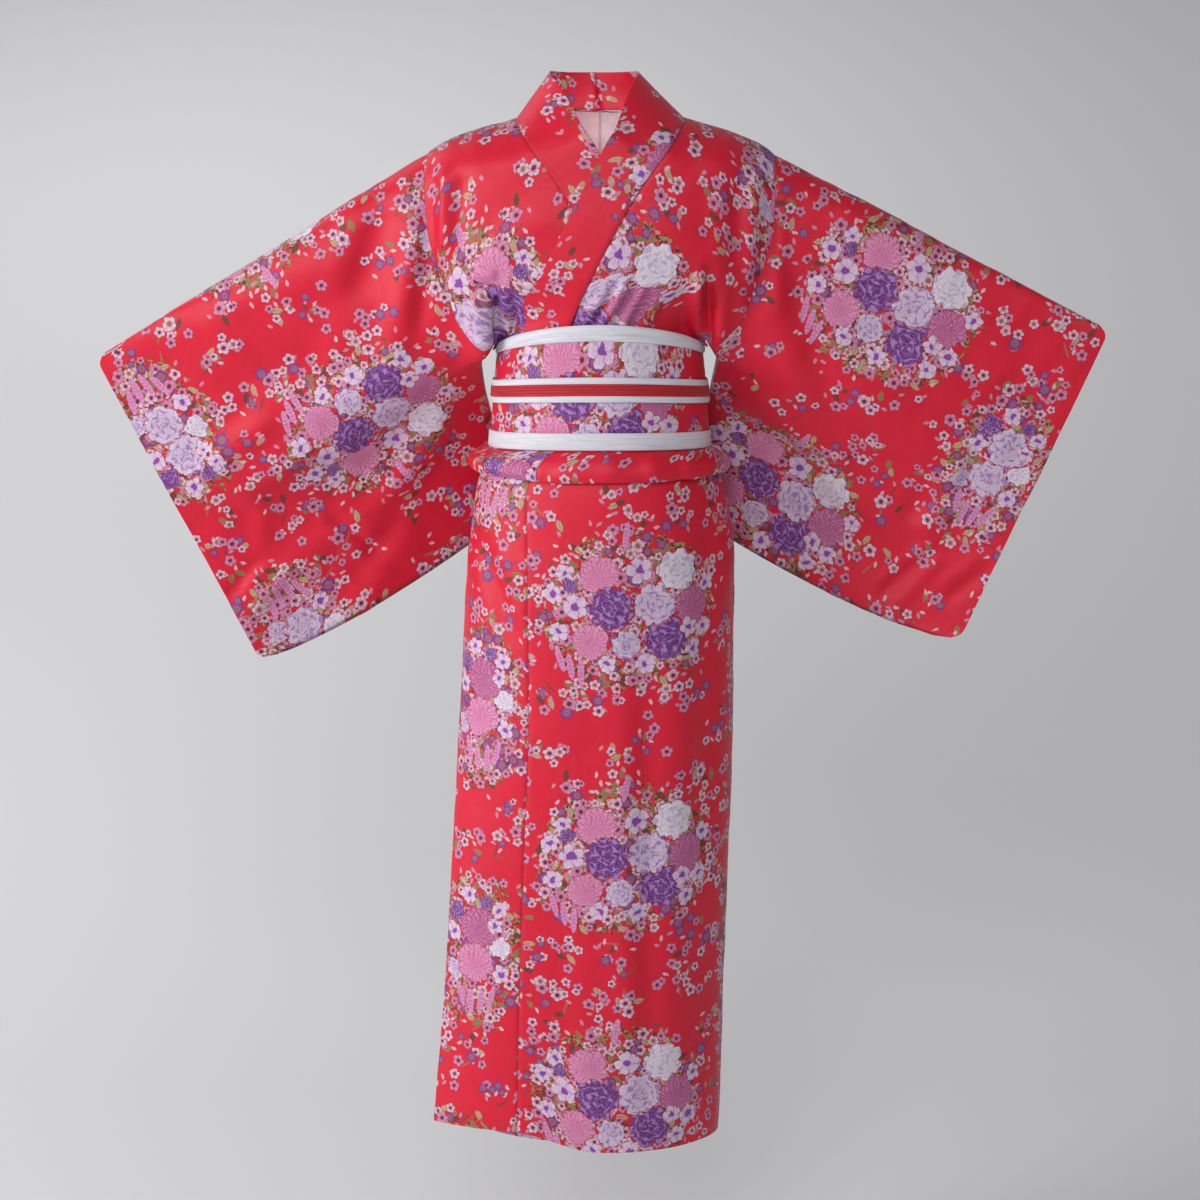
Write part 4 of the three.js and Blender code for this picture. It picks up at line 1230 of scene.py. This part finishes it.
def sleeve_print(grid, down, along, at, repeats, turn):
    """Print coordinates of a sleeve, which run along its top fold, for each corner and the one after it."""
    start = np.array([SLEEVE_TOP[0], SLEEVE_TOP[2]])
    over = np.array([-along[1], along[0]])
    flat = grid[..., [0, 2]] - start
    u, v = flat @ along, flat @ over
    at = ((np.array(at) - start) @ along - repeats * REPEAT[0], (np.array(at) - start) @ over)
    # The cloth runs on over the rounded top fold, and its two ends meet at the bottom seam.
    columns = np.arange(grid.shape[1])
    low = int(np.argmax(down))
    step = np.roll(grid, -1, 1) - grid
    rounding = np.linalg.norm(step, axis=-1) - np.linalg.norm(step[..., [0, 2]], axis=-1)
    front_round = np.cumsum(rounding, 1) - rounding
    back_round = np.cumsum(rounding[:, ::-1], 1)[:, ::-1]
    back_round[:, 0] = 0
    front_uv, back_uv = print_uv(u, v - front_round, at, turn), print_uv(u, back_round - v, at, turn)
    uv = np.where((columns >= low)[None, :, None], back_uv, front_uv)
    uv_next = np.roll(np.where((columns > low)[None, :, None], back_uv, front_uv), -1, 1)
    uv_next[:, -1] = back_uv[:, 0]
    return uv, uv_next


def round_cuff(grid, down, side, along, low_round):
    """Rounds off both corners of the cuff."""
    cuff = math.hypot(*np.subtract(*SLEEVE_CORNERS[side]))
    to_end = run(grid, 0)[-1:] - run(grid, 0)
    for share, radius in ((down, TOP_ROUND), (1 - down, low_round)):
        away = np.minimum(share * cuff, radius)
        pull = radius - np.sqrt(radius**2 - (radius - away) ** 2)
        pull = pull * np.clip(1 - to_end / (3 * radius), 0, 1)
        grid[..., [0, 2]] -= pull[..., None] * along


def sleeve(node, side, out_at, at, repeats, turn, folds, bends, pouch, low_round, clear, seed):
    """A folded sleeve; clear says how far its inner edge stands off the obi."""
    grid, facing, down = sleeve_grid(side, out_at)
    along = np.array(SLEEVE_CORNERS[side][0]) - SLEEVE_TOP[[0, 2]]
    along = along / np.linalg.norm(along)
    uv, uv_next = sleeve_print(grid, down, along, at, repeats, turn)
    round_cuff(grid, down, side, along, low_round)
    grid = sag(grid * [side, 1, 1], *pouch)
    grid[..., 1] -= crease(grid, bends, 1)
    inner = np.clip(1 - run(grid, 0) / CLEAR_LENGTH, 0, 1) * (down > 0.5)
    grid[..., 0] += side * clear * inner * bell(grid[..., 2] - CLEAR_Z, CLEAR_HEIGHT)
    # The room between the two walls limits how far each may sink.
    columns = np.arange(grid.shape[1])
    opposite = (2 * int(np.argmax(down)) - columns) % len(columns)
    room = np.linalg.norm(grid - grid[:, opposite], axis=-1)
    open_share = np.clip(room / FOLD_ROOM, 0.25, 1)
    back_folds = [(x0 * 0.95, z0 - 20, x1 * 1.04, z1 - 10, w, out) for x0, z0, x1, z1, w, out in folds]
    lift = crease(grid, folds, (facing < 0) * open_share)
    lift = lift + crease(grid, back_folds, (facing > 0) * open_share)
    lift = lift * smoothstep(np.abs(grid[..., 0]), *FOLDS_END)
    lift += uneven(grid, seed, (1.4, 120), (0.7, 46))
    distance = from_edges(grid)["top"][0]
    lift *= smoothstep(distance, -2, ARMHOLE_CALM)
    lift = np.clip(lift, np.maximum(0.35 - 0.3 * room, -SLEEVE_HOLLOW), SLEEVE_HOLLOW)
    # Painted shade along the armhole seam, at a quarter of the other seams' strength.
    seam = ARMHOLE_SHARE * bell(distance, SEAM_SHADE) * (down < 0.6)
    lift -= ARMHOLE_SHARE * SEAM_DIP * bell(distance, SEAM_SOFT)
    lift += fold_line(grid, "bottom", CUFF_HEM)
    centre = grid.mean(axis=1, keepdims=True)
    _, grid, normals = cloth(
        node, grid, uv, COTTON, SLEEVE_CLOTH, "cotton", lift, seam, ring=True, uv_next=uv_next, centre=centre
    )
    stitches(node, grid[CUFF_STITCH_ROW], normals[CUFF_STITCH_ROW], 0.4, red_thread, 2.6, 2.4)


left_folds = (LEFT_SLEEVE_FOLDS, LEFT_SLEEVE_BENDS, LEFT_POUCH)
right_folds = (RIGHT_SLEEVE_FOLDS, RIGHT_SLEEVE_BENDS, RIGHT_POUCH)
sleeve("sleeve_left", 1, over_out, (352, -224), 1, False, *left_folds, 24.0, 0.0, 0.9)
sleeve("sleeve_right", -1, lapped_under, (274, -384), 0, True, *right_folds, 14.0, 6.0, 2.2)

# Folds of the skirt, on its front and its back.
SKIRT_FRONT_FOLDS = [
    (-52, -430, -48, -1240, 2.2, 1.2), (22, -440, 34, -1180, 26, 2.2), (92, -480, 100, -1280, 22, 2.4),
    (-124, -500, -84, -630, 12, 3.0), (-152, -500, -112, -610, 10, -2.2), (-150, -460, -176, -1200, 20, 2.0),
    (134, -440, 128, -900, 14, -2.6), (58, -700, 62, -1290, 16, -1.8), (-20, -900, -16, -1290, 18, 1.8),
]
SKIRT_BACK_FOLDS = [
    (-40, -440, -46, -1200, 24, 2.4), (44, -460, 56, -1280, 22, 2.6), (100, -440, 96, -900, 14, -2.4),
    (-104, -440, -110, -1000, 15, -2.2), (8, -720, 2, -1290, 14, 1.8),
]


# The print's height on the skirt is measured down this column.
UPRIGHT_COLUMN = 30


def skirt(node, width, point, ends, at, seed, edges, turn):
    """A piece of the skirt between two angles, which may change with its height."""
    shares = shares_across(width, max(int(width / 5), 24))
    rows = []
    for z in skirt_rows:
        start, end = [angle(z) if callable(angle) else angle for angle in ends]
        rows.append(point(lerp(start, end, shares), z))
    grid = np.array(rows)
    lift, seam = seamed(grid, edges)
    lift = lift + front_and_back(grid, SKIRT_FRONT_FOLDS, SKIRT_BACK_FOLDS)
    lift += uneven(grid, seed, (1.1, 150), (0.45, 50)) + fold_line(grid, "bottom", SKIRT_HEM)
    upright = -run(grid, 0)[:, UPRIGHT_COLUMN:][:, :1]
    uv = print_uv(run(grid, 1), upright + SKIRT_TOP, at, turn)
    _, grid, normals = cloth(node, grid, uv, COTTON, CLOTH, "cotton", lift, seam)
    stitches(node, grid[HEM_STITCH_ROW], normals[HEM_STITCH_ROW], 0.5, dark_thread, 1.6, 6.5)


BOTH = "first last"
# Each piece of the skirt: width, the tube it lies on, its two angles, the middle of its large bouquet,
# the seed of its ripples, its seams, and whether its print is upside down.
SKIRT_PIECES = [
    ("skirt_front_left", 300, over_point, (over_seam_angle, 90), (131, -584), 0.1, BOTH, False),
    ("overlap_left", 120, over_point, (over_edge_angle, over_seam_angle), (-170, -590), 0.1, "last", False),
    ("skirt_back_left", 250, tube_point, (90, 180), (60, -640), 0.8, BOTH, True),
    ("skirt_back_right", 250, tube_point, (-180, -90), (160, -560), 1.1, BOTH, True),
    ("skirt_front_right", 300, under_point, (-90, UNDER_OVERLAP_ANGLES[0]), (120, -600), 1.4, BOTH, False),
    ("overlap_right", 120, under_point, UNDER_OVERLAP_ANGLES, (-170, -590), 1.8, "first", False),
]
for row in SKIRT_PIECES:
    skirt(*row)

TUCK_FOLDS = [
    (-130, -396, -150, -436, 9, 1.6), (-92, -392, -104, -430, 8, 1.3), (-40, -384, -46, -424, 10, 1.2),
    (10, -382, 14, -420, 12, 1.3), (60, -386, 70, -426, 10, 1.5), (104, -392, 118, -432, 8, 1.7),
]
# Folds and ripples show on the tuck's outer rings only, and its seams get more painted shade than the others.
TUCK_SHOWN, TUCK_HIDDEN, TUCK_SEAM_SHADE = (6, 16), (40, 50), 1.8


def tuck(node, start, end, count, at, seed, turn=False):
    grid = tuck_grid(start, end, count)
    lift, seam = seamed(grid, BOTH)
    rings = np.arange(grid.shape[0])[:, None]
    shown = smoothstep(rings, *TUCK_SHOWN) * (1 - smoothstep(rings, *TUCK_HIDDEN))
    lift += crease(grid, TUCK_FOLDS, 1) * shown
    lift += 0.8 * ripple(grid, 55, seed) * shown
    uv = print_uv(run(grid, 1), -run(grid, 0), at, turn)
    return cloth(node, grid, uv, COTTON, CLOTH, "cotton", lift, seam * TUCK_SEAM_SHADE)


tuck("tuck_back", 90, 270, 90, (60, 40), 1.3, True)
tuck("tuck_front", tuck_seam, 90, 70, (60, 150), 2.2)
tuck("tuck_overlap", -90, tuck_seam, 40, (-110, 30), 3.1)

RING_STEPS = 240
ring_angles = np.linspace(-180, 180, RING_STEPS + 1)[:-1]
# The obi's sides are drawn in at its top, down to this share of its height.
OBI_PINCH, PINCH_END = 4.0, 0.6
CORD_MIDDLE = 0.51


def band(node, top, low, rows, out, materials, slot, profile, at=(0, 0)):
    """A belt round the obi; profile gives its height at a share across it and an angle."""
    across = np.linspace(0, 1, rows)[:, None]
    place = lerp(top, low, across)
    grid = obi_point(ring_angles, place, out)
    pinch = OBI_PINCH * np.clip(1 - place / PINCH_END, 0, 1.2) * side_share(ring_angles)
    lift = profile(across, ring_angles[None]) - pinch
    length = np.linalg.norm(np.roll(grid, -1, 1) - grid, axis=-1)
    total = np.cumsum(length, axis=1)
    ends = total - total[:, RING_STEPS // 2 - 1 : RING_STEPS // 2]
    v = -run(grid, 0)[:, :1]
    uv, uv_next = print_uv(ends - length, v, at), print_uv(ends, v, at)
    return cloth(node, grid, uv, materials, BELT_CLOTH, slot, lift, ring=True, uv_next=uv_next)


def wavy(t, angle, seed):
    turn = np.radians(angle)
    slow, fast = np.sin(3 * turn + seed + 4 * t), np.sin(13 * turn - seed)
    return slow + 0.6 * np.sin(7 * turn + 2 * seed) + 0.4 * fast


def flat_edge(t, drop=0.9, soft=0.05):
    """Rounds a band off at both of its edges."""
    return -drop * (np.exp(-t / soft) + np.exp(-(1 - t) / soft))


def obi_profile(t, angle):
    """The obi is drawn in under its cord, with fine ribs along it."""
    waist = -0.9 * bell(t - CORD_MIDDLE, 0.16)
    ribs = 0.12 * np.sin(40 * t + 0.4 * wavy(t, angle, 1.0))
    return waist + ribs + 0.25 * wavy(t, angle, 0.4) * np.sin(math.pi * t)


def sash_profile(t, angle):
    pleats = 0.26 * np.sin(2 * math.pi * 3.1 * t + 1.6 * wavy(t, angle, 2.0))
    fold = 0.5 * np.tanh((0.55 + 0.05 * wavy(t, angle, 0.6) - t) / 0.03)
    return flat_edge(t, 1.2, 0.07) + pleats + fold + 0.2 * wavy(t, angle, 1.1)


def belt_profile(t, angle):
    return flat_edge(t) + 0.16 * wavy(t, angle, 2.6) + 0.12 * np.sin(2 * math.pi * 6 * t)


def cord_edge_profile(t, angle):
    return flat_edge(t, 0.8, 0.12) + 0.08 * wavy(t, angle, 0.8)


def braid_profile(t, _):
    ribs = np.abs(np.sin(math.pi * 4 * t)) ** 0.6
    return flat_edge(t, 1.0, 0.04) + 0.9 * ribs - 0.6


WHITE_BELT = ([white_cotton] * 2, "white_belt")
band("obi_band", 0, 0.985, 90, 0.0, [printed_cotton, white_cotton], "obi", obi_profile, at=(-8, -66))
band("sash_upper", -0.012, 0.118, 30, 2.6, *WHITE_BELT, sash_profile)
band("cord_edge_upper", 0.410, 0.461, 12, 2.8, *WHITE_BELT, cord_edge_profile)
band("obi_cord", 0.461, 0.558, 40, 3.0, [red_braid] * 2, "cord", braid_profile)
band("cord_edge_lower", 0.558, 0.609, 12, 2.8, *WHITE_BELT, cord_edge_profile)
band("belt_lower", 0.862, 1.0, 26, 2.8, *WHITE_BELT, belt_profile)

# Each piece as flat cloth: width, length and area as far as it shows, in metres, how it is held
# and the nodes that carry it.
CUTS = {
    "body_left": (0.26, 1.0, 0.165, "draped", ""),
    "body_right": (0.255, 1.0, 0.164, "draped", ""),
    "collar_left": (0.08, 0.62, 0.037, "folded", "body_left"),
    "collar_right": (0.072, 0.615, 0.0355, "folded", "body_right"),
    "sleeve_left": (0.47, 1.135, 0.421, "hung", "body_left"),
    "sleeve_right": (0.48, 1.145, 0.417, "hung", "body_right"),
    "skirt_front_left": (0.315, 0.9, 0.276, "hung", "obi_band"),
    "overlap_left": (0.118, 0.875, 0.098, "hung", "obi_band"),
    "skirt_back_left": (0.225, 0.9, 0.1935, "hung", "obi_band"),
    "skirt_back_right": (0.218, 0.9, 0.191, "hung", "obi_band"),
    "skirt_front_right": (0.305, 0.886, 0.2605, "hung", "obi_band"),
    "overlap_right": (0.095, 0.886, 0.08, "hung", "obi_band"),
    "tuck_back": (0.445, 0.097, 0.038, "folded", "skirt_back_left skirt_back_right"),
    "tuck_front": (0.3, 0.101, 0.025, "folded", "skirt_front_left"),
    "tuck_overlap": (0.142, 0.098, 0.012, "folded", "overlap_left"),
    "obi_band": (0.15, 0.732, 0.094, "stretched", "body_left body_right"),
    "sash_upper": (0.021, 0.73, 0.0105, "stretched", "obi_band"),
    "obi_cord": (0.018, 0.742, 0.0125, "stretched", "obi_band"),
    "belt_lower": (0.022, 0.75, 0.0157, "stretched", "obi_band"),
}
# The white edges are woven in one with the red cord.
for node, (width, length, area, held, carriers) in CUTS.items():
    tuple(name + "_cloth" for name in carriers.split())


# ---- floor, backdrop, camera and lights ----
STUDIO_WIDTH, STUDIO_NEAR, STUDIO_FAR = 12.0, -8.0, 7.2
FLOOR_Z, RISE_START, RISE_TOP, RISE_BEND = -1.62, 1.0, -0.40, 1.6


def place_in_scene(name, data):
    thing = bpy.data.objects.new(name, data)
    bpy.context.scene.collection.objects.link(thing)
    return thing


def studio():
    """A pale floor that rises gently behind, low enough to leave the back in view."""
    profile = [(STUDIO_NEAR, FLOOR_Z)]
    for share in np.linspace(0, 1, 25):
        profile.append((lerp(RISE_START, STUDIO_FAR, share), lerp(FLOOR_Z, RISE_TOP, share**RISE_BEND)))
    corners = [(x, y, z) for y, z in profile for x in (-STUDIO_WIDTH, STUDIO_WIDTH)]
    faces = [(2 * k, 2 * k + 1, 2 * k + 3, 2 * k + 2) for k in range(len(profile) - 1)]
    mesh = bpy.data.meshes.new("studio")
    mesh.from_pydata(corners, [], faces)
    mesh.polygons.foreach_set("use_smooth", np.ones(len(faces), dtype=bool))
    looks = {"Base Color": (0.70, 0.70, 0.715, 1), "Roughness": 0.9, "Specular IOR Level": 0.1}
    mesh.materials.append(material("studio_paper", looks)[0])
    place_in_scene("studio", mesh)


def lamp(name, place, target, size, power):
    data = bpy.data.lights.new(name, "AREA")
    data.shape = "DISK"
    data.size = size
    data.energy = power
    light = place_in_scene(name, data)
    light.location = place
    light.rotation_euler = (Vector(target) - Vector(place)).to_track_quat("-Z", "Y").to_euler()
    light.visible_camera = False


studio()
lamp("key", (-3.0, -1.5, 0.2), (0, 0, -0.6), 1.6, 84)
lamp("front", (-0.8, -5.5, 2.2), (0, 0, -0.6), 2.4, 128)
lamp("paper_far", (-1.2, 4.6, 2.0), (-0.6, 7.0, -0.3), 1.6, 49)
lamp("paper_near", (-2.0, 1.6, 1.2), (-0.8, 3.4, -1.2), 1.2, 39)
lamp("inside", (0, -0.03, 0.02), (0, 0.085, -0.075), 0.06, 0.075)
world = bpy.data.worlds.new("world")
world.use_nodes = True
world.node_tree.nodes["Background"].inputs["Color"].default_value = (1.0, 1.0, 1.02, 1)
world.node_tree.nodes["Background"].inputs["Strength"].default_value = 0.30
scene = bpy.context.scene
scene.world = world
scene.view_settings.view_transform = "Standard"

camera_data = bpy.data.cameras.new("camera")
camera_data.sensor_width = 36
camera_data.lens = 123.2
camera_data.clip_end = 50
scene.camera = place_in_scene("camera", camera_data)
scene.camera.location = (0, -5.0, 0.6506)
# It looks down on the garment by 14 degrees.
scene.camera.rotation_euler = (math.radians(90 - 14), 0, 0)
